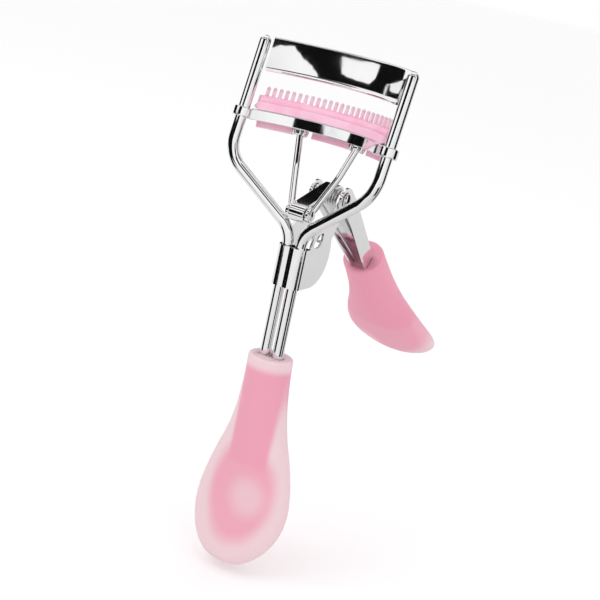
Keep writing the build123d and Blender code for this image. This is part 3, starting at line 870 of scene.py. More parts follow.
@dataclass
class SlidingBar(CurlerPart):
    """Lower bar with loops, lugs and pins, the comb clip and the lash pad."""

    low_t: float = 17.25
    top_t: float = 19.5
    wall: float = 0.6
    half_depth: float = 1.5
    floor_t: float = 18.3
    loop_radius: float = 1.91
    loop_bore: float = 1.26
    loop_height: float = 2.0
    hinge_x: float = 6.8
    hinge_t: float = 16.7
    hinge_back: float = 0.4
    lug_radius: float = 1.0
    lug_inner: float = 1.0
    lug_thick: float = 0.5
    comb_wall: float = 0.65
    comb_front_t: float = 21.2
    comb_skirt_t: float = 15.5
    comb_half_span: float = 15.7
    comb_back_half_span: float = 14.5
    tooth_count: int = 26
    tooth_half_span: float = 14.1
    tooth_top_t: float = 23.9
    pad_top_t: float = 22.35
    pad_half_span: float = 15.2
    notch_margin: float = 0.9
    notch_back: float = 2.0
    notch_drop: float = 0.6
    notch_depth: float = 5.0
    notch_height: float = 3.6

    def hinge(self, side: int) -> np.ndarray:
        """Hinge point of one pull wire.

        Args:
            side: -1 for the left wire, 1 for the right one.

        Returns:
            The point.
        """
        base = self.head.wire(side * self.hinge_x, self.hinge_t)
        bulge = math.sqrt(self.head.radius**2 - self.hinge_x**2) + self.head.sagitta - self.head.radius
        return base + np.array((0, bulge + self.hinge_back, 0))

    def build_bar(self) -> None:
        """Folds the bar, its wire loops and its lugs."""
        front, back = -self.half_depth, self.half_depth
        inner, floor_top = front + self.wall, self.floor_t + self.wall
        section = rounded([(front, self.low_t), (inner, self.low_t), (inner, self.floor_t),
                           (back, self.floor_t), (back, floor_top), (inner, floor_top),
                           (inner, self.top_t), (front, self.top_t)], 0.16, 3)
        shell = self.head.strip(Shell(), section, self.head.half_width - 1.0, 120)
        middle_t = (self.low_t + self.top_t) / 2
        half = self.loop_height / 2
        ring = rounded([(-half, self.loop_bore), (half, self.loop_bore), (half, self.loop_radius),
                        (-half, self.loop_radius)], 0.22, 3)
        for side in (-1, 1):
            centre = self.head.wire(side * self.head.half_width, middle_t)
            shell.turned(ring, centre, self.head.direction, 48, ring=True)
            hinge = self.hinge(side)
            for face in (-1, 1):
                x = side * self.hinge_x + face * (self.lug_inner + self.lug_thick / 2)
                lug = [(self.lug_radius * math.cos(a), self.lug_radius * math.sin(a))
                       for a in np.linspace(math.pi, 2 * math.pi, 17)]
                lug += [(self.lug_radius * 0.95, 1.7), (-self.lug_radius * 0.95, 1.7)]
                shell.plate(lug, x - self.lug_thick / 2, x + self.lug_thick / 2, 0.1, beside(hinge))
        made = shell.piece("sliding_bar", self.finishes[Finish.CHROME_SHEET], 40)
        self.place(made, "bar", Finish.CHROME_SHEET, "lower_bar")

    def build_pins(self) -> None:
        """Turns the two small hinge rivets."""
        for side, name in ((-1, "left"), (1, "right")):
            half = self.lug_inner + self.lug_thick
            profile = domed_pin(half, 0.4, 0.68, 0.27)
            made = Shell().turned(profile, self.hinge(side), (1, 0, 0)).piece(
                f"lug_rivet_{name}", self.finishes[Finish.RIVET_STEEL], 40)
            self.place(made, "bar", Finish.RIVET_STEEL, f"hinge_pin_{name}")

    def build_comb(self) -> None:
        """Moulds the clip and grows its teeth along the back edge."""
        front = -self.half_depth
        back = self.half_depth + 0.01
        outer = back + self.comb_wall
        wall_in = front + self.comb_wall
        floor_low, floor_top = self.top_t + 0.01, self.top_t + 0.5
        tray = rounded([(front, floor_low), (back, floor_low), (back, floor_top), (wall_in, floor_top),
                        (wall_in, self.comb_front_t), (front, self.comb_front_t)], 0.2, 3)
        wall = rounded([(back, self.comb_skirt_t), (outer, self.comb_skirt_t), (outer, self.comb_front_t),
                        (back - 0.1, self.comb_front_t)], 0.2, 3)
        plastic = self.finishes[Finish.COMB_PLASTIC]
        shell = self.head.strip(Shell(), tray, self.comb_half_span, 110, rounded_end(0.955, 0.045, 0.04))
        skirt = self.head.strip(Shell(), wall, self.comb_back_half_span, 100, rounded_end(0.985, 0.016, 0.09))
        back_wall = skirt.piece("comb_back_wall", plastic, 40)
        wide = 2 * (self.lug_inner + self.lug_thick) + self.notch_margin
        size = (wide, self.notch_depth, self.notch_height)
        middle = np.array((0, self.notch_back, -self.notch_drop))
        notched(back_wall, [(tuple(self.hinge(side) + middle), size) for side in (-1, 1)])
        self.place(back_wall, "bar", Finish.COMB_PLASTIC)
        clip = shell.piece("comb_body", plastic, 40)
        pale = MouldedPlastic("comb_tips", linear(250, 214, 228), linear(247, 202, 219), 0.22, 0.5).material()
        teeth = CombTeeth(self.head, pale).grow(
            self.tooth_count, self.head.half_angle(self.tooth_half_span), back + self.comb_wall / 2,
            self.comb_front_t - 0.3, self.tooth_top_t + 0.3, 0.39)
        self.place(clip, "bar", Finish.COMB_PLASTIC, "comb_clip")
        self.place(teeth, "bar", Finish.COMB_PLASTIC)

    def build_pad(self) -> None:
        """Moulds the cushion that the lashes press on."""
        low = self.top_t + 0.52
        front = -self.half_depth + self.comb_wall + 0.01
        back = self.half_depth - 0.01
        corners = [(front, low), (back, low), (back, self.pad_top_t), (front, self.pad_top_t)]
        section = rounded(corners, 0.8, 6)
        made = self.head.strip(Shell(), section, self.pad_half_span, 90).piece(
            "lash_cushion", self.finishes[Finish.PAD_SILICONE], 50)
        self.place(made, "bar", Finish.PAD_SILICONE, "lash_pad")

    def build(self) -> None:
        """Builds the bar and all that rides on it."""
        self.build_bar()
        self.build_pins()
        self.build_comb()
        self.build_pad()


def domed_pin(half: float, shank: float, head_radius: float, head_height: float) -> list[tuple[float, float]]:
    """Profile of a rivet with a low dome at each end.

    Args:
        half: Half length between the heads.
        shank: Shank radius.
        head_radius: Head radius.
        head_height: Head height.

    Returns:
        Pairs of length and radius.
    """
    dome = [(half + head_height * math.sin(a), max(head_radius * math.cos(a), 0.01))
            for a in np.linspace(0.15, math.pi / 2, 8)]
    right = [(half - 0.01, shank), (half, head_radius * 0.98)] + dome
    left = [(-length, radius) for length, radius in reversed(right)]
    return left + right


class CombTeeth:
    """Row of rounded teeth made by a geometry node tree."""

    sides = 14
    tip_rings = 8

    def __init__(self, head: HeadShape, material: bpy.types.Material) -> None:
        """Keeps the curve and the finish."""
        self.head = head
        self.material = material

    def tree(self) -> bpy.types.NodeTree:
        """Builds the tree: points on an arc, one rounded peg on each.

        Returns:
            The node tree, with its sizes as named inputs.
        """
        tree = bpy.data.node_groups.new("comb teeth", "GeometryNodeTree")
        face = tree.interface
        face.new_socket("Geometry", in_out="INPUT", socket_type="NodeSocketGeometry")
        kinds = {"Count": "Int", "Radius": "Float", "Start": "Float", "Sweep": "Float", "Thickness": "Float",
                 "Height": "Float", "Place": "Vector", "Lean": "Vector", "Finish": "Material"}
        for name, kind in kinds.items():
            face.new_socket(name, in_out="INPUT", socket_type=f"NodeSocket{kind}")
        face.new_socket("Geometry", in_out="OUTPUT", socket_type="NodeSocketGeometry")
        work = NodeWork(tree)
        sockets = work.node("NodeGroupInput").outputs
        given = {name: Shade(work, sockets[name]) for name in kinds}
        arc = work.out("GeometryNodeCurveArc", {}, {
            "Resolution": given["Count"], "Radius": given["Radius"], "Start Angle": given["Start"],
            "Sweep Angle": given["Sweep"]}, "Curve")
        peg = work.out("GeometryNodeMeshCylinder", {}, {
            "Vertices": self.sides, "Radius": given["Thickness"], "Depth": given["Height"]}, "Mesh")
        tip = work.out("GeometryNodeMeshUVSphere", {}, {
            "Segments": self.sides, "Rings": self.tip_rings, "Radius": given["Thickness"]}, "Mesh")
        lift = work.out("ShaderNodeCombineXYZ", {}, {"Z": given["Height"] * 0.5})
        raised_tip = work.out("GeometryNodeTransform", {}, {"Geometry": tip, "Translation": lift})
        tooth = work.out("GeometryNodeJoinGeometry", {}, {0: [peg, raised_tip]})
        raised = work.out("GeometryNodeTransform", {}, {"Geometry": tooth, "Translation": lift})
        row = work.out("GeometryNodeInstanceOnPoints", {}, {
            "Points": arc, "Instance": raised, "Rotation": given["Lean"]})
        real = work.out("GeometryNodeRealizeInstances", {}, {0: row})
        moved = work.out("GeometryNodeTransform", {}, {"Geometry": real, "Translation": given["Place"]})
        dressed = work.out("GeometryNodeSetMaterial", {}, {"Geometry": moved, "Material": given["Finish"]})
        work.node("NodeGroupOutput", {}, {0: dressed})
        return tree

    def grow(self, count: int, half_angle: float, offset: float, low_t: float, top_t: float,
             thickness: float) -> bpy.types.Object:
        """Makes the row of teeth as a plain mesh.

        Args:
            count: Number of teeth.
            half_angle: Angle from the middle to the last tooth, in radians.
            offset: Distance outside the lash curve.
            low_t: Height of the roots.
            top_t: Height of the tips.
            thickness: Radius of a tooth.

        Returns:
            The teeth as one object.
        """
        seed = bpy.data.objects.new("comb_teeth_seed", bpy.data.meshes.new("comb_teeth_seed"))
        bpy.context.scene.collection.objects.link(seed)
        modifier = seed.modifiers.new("teeth", "NODES")
        modifier.node_group = self.tree()
        centre = self.head.curve(0, 0, low_t) - np.array((0, self.head.radius, 0))
        values = {"Count": count, "Radius": (self.head.radius + offset) * MM,
                  "Start": math.pi / 2 - half_angle, "Sweep": 2 * half_angle,
                  "Thickness": thickness * MM, "Height": (top_t - low_t - thickness) * MM,
                  "Place": tuple(float(c) * MM for c in centre),
                  "Lean": (-math.radians(self.head.tilt_degrees), 0.0, 0.0), "Finish": self.material}
        for item in modifier.node_group.interface.items_tree:
            if item.item_type == "SOCKET" and item.in_out == "INPUT" and item.name in values:
                modifier[item.identifier] = values[item.name]
        bpy.context.view_layer.update()
        graph = bpy.context.evaluated_depsgraph_get()
        mesh = bpy.data.meshes.new_from_object(seed.evaluated_get(graph))
        mesh.shade_smooth()
        mesh.set_sharp_from_angle(angle=math.radians(45))
        made = bpy.data.objects.new("comb_teeth", mesh)
        bpy.context.scene.collection.objects.link(made)
        bpy.data.objects.remove(seed)
        return made


@dataclass
class PullYoke(CurlerPart):
    """Two pull wires with flattened eyes and the link pin."""

    bar: SlidingBar | None = None
    wire_diameter: float = 1.45
    kink: Point = (5.15, 3.1, 9.8)
    link_x: float = 2.3
    link_y: float = -0.43
    link_rise: float = 1.25
    eye_radius: float = 1.5
    eye_thick: float = 1.0
    hinge_eye_radius: float = 1.05
    hinge_eye_thick: float = 1.3
    pin_radius: float = 0.6

    def build(self) -> None:
        """Builds both pull wires and the pin."""
        for side, name in ((-1, "left"), (1, "right")):
            upper = self.bar.hinge(side)
            lower = np.array((side * self.link_x, self.link_y, self.head.link_height + self.link_rise))
            kink = np.array((side * self.kink[0], self.kink[1], self.head.link_height + self.kink[2]))
            start = upper + unit(kink - upper) * 0.75
            end = lower + unit(kink - lower) * 1.2
            path = bent_path((tuple(start), tuple(kink), tuple(end)), (9.0,), 24)
            shell = Shell().tube(path, self.wire_diameter / 2, 32)
            half = self.eye_thick / 2
            eye = rounded([(-half, self.pin_radius + 0.01), (half, self.pin_radius + 0.01),
                           (half, self.eye_radius), (-half, self.eye_radius)], 0.28, 4)
            shell.turned(eye, lower, (1, 0, 0), 48, ring=True)
            half = self.hinge_eye_thick / 2
            eye = rounded([(-half, 0.45), (half, 0.45), (half, self.hinge_eye_radius),
                           (-half, self.hinge_eye_radius)], 0.25, 4)
            shell.turned(eye, upper, (1, 0, 0), 40, ring=True)
            made = shell.piece(f"pull_wire_{name}", self.finishes[Finish.CHROME_WIRE], 50)
            self.place(made, "yoke", Finish.CHROME_WIRE, f"yoke_wire_{name}")
        pin = Shell().turned(domed_pin(self.link_x + self.eye_thick / 2, self.pin_radius, 0.96, 0.36),
                             (0, self.link_y, self.head.link_height + self.link_rise), (1, 0, 0))
        made = pin.piece("link_rivet", self.finishes[Finish.RIVET_STEEL], 40)
        self.place(made, "yoke", Finish.RIVET_STEEL, "link_pin")


@dataclass
class GripShape:
    """Outline of a spoon-shaped grip. Lengths in millimetres."""

    length: float = 49.8
    widths: tuple[tuple[float, float], ...] = (
        (0.0, 4.8), (0.18, 5.04), (0.30, 5.70), (0.42, 7.05), (0.54, 9.08), (0.64, 10.45), (0.74, 11.15),
        (0.82, 10.75), (0.88, 9.6), (0.93, 7.9), (0.965, 5.9), (0.987, 3.8), (1.0, 0.6))
    neck_thick: float = 4.6
    wide_thick: float = 4.2
    bow: tuple[float, float] = (-14.97, 18.34)
    dome_start: float = 0.86
    dome_reach: float = 0.1376
    dome_swept: float = 0.1375
    dish_depth: float = 0.75
    dish_middle: float = 0.72
    dish_length: float = 0.12
    dish_width: float = 5.5

    def half_width(self, s: float) -> float:
        """Half width at a share of the length, by a smooth curve through the stations.

        Args:
            s: Share of the length.

        Returns:
            The half width.
        """
        knots = [k for k, _ in self.widths]
        values = [v for _, v in self.widths]
        slopes = np.gradient(values, knots)
        index = min(max(int(np.searchsorted(knots, s)) - 1, 0), len(knots) - 2)
        gap = knots[index + 1] - knots[index]
        u = (s - knots[index]) / gap
        a, b = values[index], values[index + 1]
        m, n = slopes[index] * gap, slopes[index + 1] * gap
        return float((2 * u**3 - 3 * u**2 + 1) * a + (u**3 - 2 * u**2 + u) * m + (-2 * u**3 + 3 * u**2) * b
                     + (u**3 - u**2) * n)

    def half_thick(self, s: float) -> float:
        """Half thickness at a share of the length."""
        plain = self.neck_thick + (self.wide_thick - self.neck_thick) * min(1.0, s / self.dome_start)
        return plain * math.sqrt(max(0.0, 1 - (max(0.0, s - self.dome_start) / self.dome_reach) ** 2))

    def offset(self, s: float) -> float:
        """Sideways bow of the axis."""
        return self.bow[0] * s**2 + self.bow[1] * s**3


@dataclass
class SoftGrips(CurlerPart):
    """The two moulded grips over their cores."""

    shape: GripShape = field(default_factory=GripShape)
    sides: int = 72
    main_drop: float = 26.4
    main_start: float = 0.065
    main_mouth: tuple[float, float] = (2.82, 1.3)
    lever_y: float = 29.1
    lever_drop: float = 7.98
    lever_start: float = 0.10
    lever_mouth: tuple[float, float] = (2.2, 1.88)

    def build_grip(self, name: str, node: str, body: str, origin: Sequence[float], axis: Sequence[float],
                   outward: Sequence[float], start: float, slot_half: tuple[float, float],
                   slot_shift: float, material: bpy.types.Material) -> None:
        """Moulds one grip.

        Args:
            name: Piece name.
            node: Frame node that it replaces.
            body: Body it moves with.
            origin: Start of the grip axis.
            axis: Direction of the grip axis.
            outward: Direction of the outer face.
            start: Share of the length where the mouth is.
            slot_half: Half width and half depth of the mouth opening.
            slot_shift: Shift of the opening towards the outer face.
            material: Its finish.
        """
        base, along, out = np.asarray(origin, float), unit(axis), unit(outward)
        across = np.array((1.0, 0, 0))
        shape = self.shape
        rings = []

        def ring(s: float, scale: float, lift: float = 0.0) -> list[np.ndarray]:
            """Ring round the grip.

            Args:
                s: Share of the length.
                scale: Scale of the ring.
                lift: Shift along the grip.

            Returns:
                Points of the ring.
            """
            wide, thick = shape.half_width(s) * scale, shape.half_thick(s) * scale
            points = []
            for a in np.linspace(0, 2 * math.pi, self.sides, endpoint=False):
                x, y = wide * math.cos(a), thick * math.sin(a)
                if y > 0:
                    dish = math.exp(-(((s - shape.dish_middle) / shape.dish_length) ** 2)
                                    - (x / shape.dish_width) ** 2)
                    y -= shape.dish_depth * dish
                points.append(base + along * (s * shape.length + lift) + across * x
                              + out * (shape.offset(s) + y))
            return points

        def opening(depth: float, scale: float) -> list[np.ndarray]:
            """Ring of the mouth opening.

            Args:
                depth: Depth inside the mouth.
                scale: Scale of the ring.

            Returns:
                Points of the ring.
            """
            points = []
            centre = base + along * (start * shape.length + depth) + out * slot_shift
            for a in np.linspace(0, 2 * math.pi, self.sides, endpoint=False):
                c, s = math.cos(a), math.sin(a)
                x = slot_half[0] * scale * math.copysign(abs(c) ** 0.35, c)
                y = slot_half[1] * scale * math.copysign(abs(s) ** 0.35, s)
                points.append(centre + across * x + out * y)
            return points

        for depth, scale in ((0.6, 0.9), (0.5, 1.0), (0.15, 1.0), (0.0, 1.06)):
            rings.append(opening(depth, scale))
        for step in range(6):
            turn = math.pi / 2 * step / 5
            rings.append(ring(start, 0.9 + 0.1 * math.sin(turn), 0.5 * (1 - math.cos(turn))))
        for s in np.linspace(start + 0.02, shape.dome_start, 64):
            rings.append(ring(float(s), 1.0))
        for turn in np.linspace(0, math.pi / 2, 26)[1:]:
            rings.append(ring(shape.dome_start + shape.dome_swept * math.sin(float(turn)), 1.0))
        made = Shell().loft(rings).piece(name, material, 60)
        self.place(made, body, Finish.GRIP_SOFT, node)

    def build(self, lever: "SqueezeLever") -> None:
        """Builds both grips.

        Args:
            lever: The lever, for its directions.
        """
        main_origin = (0.0, 0.0, self.head.link_height - self.main_drop)
        down, front = (0, 0, -1), (0, -1, 0)
        main = GripRubber("soft_grip_main", linear(228, 156, 176), linear(228, 200, 206), main_origin, down)
        self.build_grip("main_grip", "handle_grip", "frame", main_origin, down, front, self.main_start,
                        self.main_mouth, 0.0, main.material())
        origin = (0.0, self.lever_y, self.head.link_height - self.lever_drop)
        middle = lever.origin + lever.outward * lever.middle_out
        shift = float((middle - np.array(origin)) @ lever.outward)
        # the lever grip's finish also paints a highlight on its dish
        spoon = GripRubber("soft_grip_lever", linear(228, 152, 174), linear(231, 200, 206), origin,
                           tuple(float(c) for c in lever.axis), neck_half=9.0, bowl_half=11.5,
                           bowl_end=43.2, mouth_end=5.0, highlight_centre=(-4.5, 37.0), shift=0.0,
                           highlight_radius=3.4, highlight_share=0.5)
        self.build_grip("lever_spoon_grip", "lever_grip", "lever", origin, lever.axis, lever.outward,
                        self.lever_start, self.lever_mouth, shift, spoon.material())


@dataclass
class SqueezeLever(CurlerPart):
    """Sheet lever on its axle, with washers, bush and return spring."""

    axle_y: float = 11.1
    axle_rise: float = 4.2
    axle_radius: float = 0.95
    slope_degrees: float = 39.1
    half_width: float = 3.95
    washer: float = 0.3
    middle_out: float = 0.75
    mouth: float = 26.5
    flange_inner: float = 2.72
    spring_radius: float = 1.62
    spring_wire: float = 0.6
    spring_pitch: float = 0.63
    hook: tuple[float, float] = (4.3, -4.3)
    whole_turns: int = 6
    axle_head: tuple[float, float] = (1.55, 0.5)
    bore: float = 0.96
    washer_radius: float = 1.8
    bush_radius: float = 1.2

    @property
    def origin(self) -> np.ndarray:
        """Axle centre."""
        return np.array((0, self.axle_y, self.head.link_height + self.axle_rise))

    @property
    def axis(self) -> np.ndarray:
        """Direction from the axle to the grip."""
        slope = math.radians(self.slope_degrees)
        return np.array((0, math.cos(slope), -math.sin(slope)))

    @property
    def outward(self) -> np.ndarray:
        """Direction of the lever's outer face."""
        slope = math.radians(self.slope_degrees)
        return np.array((0, math.sin(slope), math.cos(slope)))

    def build_channel(self) -> None:
        """Eases the edges of the folded channel."""
        made = softened_copy("lever_channel", "folded_channel", self.finishes[Finish.CHROME_SHEET], 0.12)
        self.place(made, "lever", Finish.CHROME_SHEET, "lever_channel")

    def build_axle(self) -> None:
        """Turns the axle rivet, its washers and the bush."""
        reach = self.half_width + self.washer + 0.1
        steel = self.finishes[Finish.RIVET_STEEL]
        profile = domed_pin(reach, self.axle_radius, *self.axle_head)
        axle = Shell().turned(profile, self.origin, (1, 0, 0), 48)
        self.place(axle.piece("axle_rivet", steel, 40), "frame", Finish.RIVET_STEEL, "pivot_axle")
        for side, name in ((-1, "left"), (1, "right")):
            low, high = sorted((side * (reach - 0.01), side * (reach - self.washer)))
            ring = rounded([(low, self.bore), (high, self.bore), (high, self.washer_radius),
                            (low, self.washer_radius)], 0.08, 3)
            washer = Shell().turned(ring, self.origin, (1, 0, 0), 48, ring=True)
            made = washer.piece(f"thin_washer_{name}", steel, 40)
            self.place(made, "frame", Finish.RIVET_STEEL, f"axle_washer_{name}")
        half = self.flange_inner
        ring = rounded([(-half, self.bore), (half, self.bore), (half, self.bush_radius),
                        (-half, self.bush_radius)], 0.05, 2)
        bush = Shell().turned(ring, self.origin, (1, 0, 0), 40, ring=True)
        made = bush.piece("spring_bush", steel, 40)
        self.place(made, "frame", Finish.RIVET_STEEL, "axle_bush")

    def build_spring(self) -> None:
        """Winds the return spring: coil and hook stay with the frame, the long leg moves with the lever."""
        hook_y, hook_z = self.hook[0] - self.axle_y, self.hook[1] - self.axle_rise
        leave = math.atan2(hook_z, hook_y) + math.acos(self.spring_radius / math.hypot(hook_y, hook_z))
        press = 1.5 * math.pi - math.radians(self.slope_degrees)
        turns = self.whole_turns + (press - leave) / (2 * math.pi)
        first_x = self.flange_inner - 0.15 - self.spring_wire / 2
        hook = np.array((first_x, self.hook[0], self.head.link_height + self.hook[1]))
        path = [hook + np.array((1.5, 0, 0)), hook + np.array((0.5, 0, 0))]
        count = int(turns * 36)
        coil = []
        for step in range(count + 1):
            turn = leave + 2 * math.pi * turns * step / count
            coil.append(self.origin + np.array((first_x - turns * self.spring_pitch * step / count,
                                                self.spring_radius * math.cos(turn),
                                                self.spring_radius * math.sin(turn))))
        path += [hook + (coil[0] - hook) * share for share in (0.03, 0.07, 0.5)] + coil
        steel = self.finishes[Finish.SPRING_STEEL]
        made = Shell().tube(path, self.spring_wire / 2, 16).piece("spring_coil", steel, 60)
        self.place(made, "frame", Finish.SPRING_STEEL)
        tip = self.origin + np.array((-1.0, 0, 0)) + self.axis * (self.mouth + 2) + self.outward * 0.4
        leg = [coil[-1] + (tip - coil[-1]) * share for share in np.linspace(0, 1, 12)]
        made = Shell().tube(leg, self.spring_wire / 2, 16).piece("spring_leg", steel, 60)
        self.place(made, "lever", Finish.SPRING_STEEL, "return_spring")

    def build(self) -> None:
        """Builds the lever and all on its axle."""
        self.build_channel()
        self.build_axle()
        self.build_spring()
        for node in ("handle_core", "lever_core"):
            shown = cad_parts[node]
            for slot in shown.material_slots:
                slot.material = self.finishes[Finish.GRIP_CORE]


@dataclass
class Studio:
    """Pale floor, soft lights, dark reflectors and the camera."""

    azimuth: float = 28.0
    elevation: float = 14.69
    roll: float = 12.08
    distance: float = 253.58
    drop: float = 16.5
    lens: float = 75.2
    aim_height: float = 52.0
    head_height: float = 0.078

    def camera(self) -> None:
        """Sets the camera."""
        a, e, r = (math.radians(v) for v in (self.azimuth, self.elevation, self.roll))
        back = Vector((math.sin(a) * math.cos(e), -math.cos(a) * math.cos(e), math.sin(e)))
        right = Vector((math.cos(a), math.sin(a), 0))
        up = back.cross(right)
        side = right * math.cos(r) + up * math.sin(r)
        top = -right * math.sin(r) + up * math.cos(r)
        place = top * -self.drop + back * self.distance + Vector((0, 0, self.aim_height))
        data = bpy.data.cameras.new("camera")
        data.lens = self.lens
        data.sensor_width = 36
        data.clip_start = 0.01
        data.clip_end = 300
        made = bpy.data.objects.new("camera", data)
        made.matrix_world = Matrix.Translation(place * MM) @ Matrix((side, top, back)).transposed().to_4x4()
        bpy.context.scene.collection.objects.link(made)
        bpy.context.scene.camera = made

    def panel(self, name: str, centre: Point, target: Point, size: tuple[float, float],
              power: float) -> None:
        """Adds one soft rectangular light.

        Args:
            name: Light name.
            centre: Place of the light, in metres.
            target: Point that it faces, in metres.
            size: Width and height, in metres.
            power: Power, in watts.
        """
        data = bpy.data.lights.new(name, "AREA")
        data.shape = "RECTANGLE"
        data.size, data.size_y = size
        data.energy = power
        made = bpy.data.objects.new(name, data)
        made.location = centre
        made.rotation_euler = (Vector(target) - Vector(centre)).to_track_quat("-Z", "Y").to_euler()
        bpy.context.scene.collection.objects.link(made)

    def card(self, name: str, stations: Sequence[tuple[float, float, float]], radius: float,
             material: bpy.types.Material) -> None:
        """Adds one dark reflector card, bent round the head of the curler.

        Args:
            name: Card name.
            stations: Azimuth from the front with the lower and upper edge elevation there, all in degrees.
            radius: Distance from the head, in metres.
            material: Its finish.
        """
        rows = []
        for first, second in zip(stations, stations[1:]):
            for step in range(6):
                share = step / 6
                ease = share * share * (3 - 2 * share)
                rows.append((first[0] + (second[0] - first[0]) * share,
                             first[1] + (second[1] - first[1]) * ease,
                             first[2] + (second[2] - first[2]) * ease))
        rows.append(stations[-1])
        corners, faces = [], []
        for azimuth, low, high in rows:
            a = math.radians(azimuth)
            for elevation in (low, high):
                e = math.radians(elevation)
                corners.append((radius * math.sin(a) * math.cos(e), -radius * math.cos(a) * math.cos(e),
                                self.head_height + radius * math.sin(e)))
        for row in range(len(rows) - 1):
            faces.append((2 * row, 2 * row + 1, 2 * row + 3, 2 * row + 2))
        mesh = bpy.data.meshes.new(name)
        mesh.from_pydata(corners, [], faces)
        mesh.materials.append(material)
        self.reflector(bpy.data.objects.new(name, mesh))

    def reflector(self, made: bpy.types.Object) -> None:
        """Stages an object that shows only in reflections.

        Args:
            made: The object.
        """
        made.visible_camera = False
        made.visible_diffuse = False
        made.visible_shadow = False
        bpy.context.scene.collection.objects.link(made)

    def dome(self, radius: float) -> None:
        """Adds the bright dome that the metal reflects, shaded from silver to white.

        Args:
            radius: Dome radius, in metres.
        """
        graph = Graph("silver_dome")
        low = graph.along((0, 0, 78), (0, 0, 1 / radius))
        turn = graph.along((0, 0, 0), (-0.75 / radius, -0.66 / radius, 0))
        glow = (low * 0.001).smooth(-0.75, 0.35) * 0.26 + (turn * 0.001).smooth(-0.9, 0.8) * 0.2 + 0.6
        shader = graph.node("ShaderNodeEmission", {}, {"Color": graph.mix(glow, (0, 0, 0, 1), (1, 1, 1, 1))})
        graph.tree.links.new(shader.outputs[0], graph.output.inputs[0])
        mesh = bpy.data.meshes.new("silver_dome")
        work = bmesh.new()
        bmesh.ops.create_uvsphere(work, u_segments=48, v_segments=24, radius=radius)
        bmesh.ops.translate(work, verts=work.verts, vec=(0, 0, self.head_height))
        work.to_mesh(mesh)
        work.free()
        mesh.materials.append(graph.material)
        made = bpy.data.objects.new("silver_dome", mesh)
        made.visible_transmission = False
        self.reflector(made)

    def build(self) -> None:
        """Builds the stage."""
        self.camera()
        bpy.context.scene.view_settings.view_transform = "Standard"
        world = bpy.data.worlds.new("studio")
        world.use_nodes = True
        back = world.node_tree.nodes["Background"]
        back.inputs[0].default_value = (1.0, 1.0, 1.0, 1.0)
        back.inputs[1].default_value = 1.0
        bpy.context.scene.world = world
        mesh = bpy.data.meshes.new("floor")
        reach = 60.0
        low = float(CAD_LOW.z) - 0.002
        corners = [(-reach, -reach, low), (reach, -reach, low), (reach, reach, low), (-reach, reach, low)]
        mesh.from_pydata(corners, [], [(0, 1, 2, 3)])
        mesh.materials.append(StudioPaper("pale_floor", (0.97, 0.97, 0.97, 1)).material())
        floor = bpy.data.objects.new("floor", mesh)
        bpy.context.scene.collection.objects.link(floor)
        floor.visible_glossy = False
        black = Graph("dark_card").finish({"Base Color": (0.004, 0.004, 0.004, 1), "Roughness": 1.0,
                                           "Specular IOR Level": 0.0})
        near, far = 0.42, 0.5
        self.card("card_front", (
            (36, 26, 27), (32, 24, 34), (22, 19.5, 36), (14, 17, 36), (10, 14, 36), (2, 9, 36), (-4, 3, 36),
            (-10, -16, 35), (-15, -16, 30), (-20, -16, 16), (-28, -16, 14), (-42, -16, 12), (-54, -16, 10.5),
            (-60, -16, 13), (-66, -16, 26), (-80, -13, 32), (-95, -8, 28), (-102, -2, 20), (-106, 4, 12)),
            near, black)
        self.card("card_brow", (
            (74, 16, 30), (62, 18, 34), (50, 24, 38), (38, 27, 38), (-11, 29, 38), (-50, 25.5, 34),
            (-75, 19, 30)), 0.41, black)
        self.card("card_side", ((100, -12, 44), (103, -16, 52), (138, -16, 52), (142, -12, 44)), near, black)
        self.card("card_low_right", (
            (56, -36, -18), (58, -40, -17), (86, -40, -17), (88, -36, -18)), near, black)
        self.card("card_low_left", (
            (-74, -36, -17), (-72, -40, -16), (-34, -40, -16), (-32, -36, -17)), near, black)
        self.card("card_low_back", (
            (106, -44, -17), (108, -50, -16), (132, -50, -16), (134, -44, -17)), near, black)
        self.card("card_back", ((190, -8, 30), (196, -10, 42), (210, -10, 42), (216, -6, 30)), near, black)
        self.card("card_high", ((-70, 50, 60), (-20, 46, 62), (40, 48, 66), (90, 54, 62)), far, black)
        self.card("card_over", ((-170, 36, 40), (-160, 30, 44), (-146, 28, 48), (-138, 34, 42)), far, black)
        self.dome(0.7)
        self.panel("key", (-0.35, -0.55, 0.65), (0, 0, 0.03), (0.5, 0.5), 1.0)
        self.panel("fill", (0.6, -0.3, 0.35), (0, 0, 0.03), (0.4, 0.6), 0.4)


def finishes() -> dict[Finish, bpy.types.Material]:
    """Builds every shared finish.

    Returns:
        Materials by finish.
    """
    silver = (0.93, 0.93, 0.935, 1.0)
    return {
        Finish.CHROME_WIRE: PolishedMetal("chrome_wire", silver, 0.035).material(),
        Finish.CHROME_SHEET: PolishedMetal("chrome_sheet", silver, 0.045, (1, 1, 0.3)).material(),
        Finish.RIVET_STEEL: PolishedMetal("rivet_steel", (0.86, 0.86, 0.87, 1), 0.09).material(),
        Finish.SPRING_STEEL: PolishedMetal("spring_steel", (0.72, 0.72, 0.73, 1), 0.16, (3, 1, 1)).material(),
        Finish.GRIP_CORE: MouldedPlastic(
            "grip_core", linear(243, 150, 178), linear(238, 140, 170), 0.4, 0.0).material(),
        Finish.COMB_PLASTIC: MouldedPlastic(
            "comb_plastic", linear(247, 198, 217), linear(244, 184, 207), 0.22, 0.5).material(),
        Finish.PAD_SILICONE: MouldedPlastic(
            "pad_silicone", linear(247, 192, 213), linear(244, 180, 205), 0.45, 0.1).material(),
    }


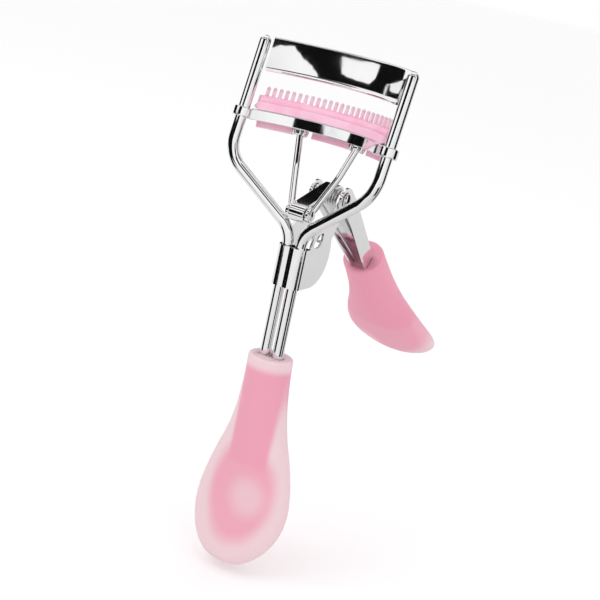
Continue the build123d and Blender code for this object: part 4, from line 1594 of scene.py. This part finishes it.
def write_sizes() -> None:
    """Updates the view layer."""
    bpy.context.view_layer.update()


def main() -> None:
    """Builds the curler and its stage."""
    logging.basicConfig(level=logging.INFO, format="%(name)s %(message)s")
    head = HeadShape()
    shared = finishes()
    WireFrame(head, shared).build()
    bar = SlidingBar(head, shared)
    bar.build()
    PullYoke(head, shared, bar=bar).build()
    lever = SqueezeLever(head, shared)
    lever.build()
    SoftGrips(head, shared).build(lever)
    Studio().build()
    write_sizes()


if __name__ == "__main__":
    main()
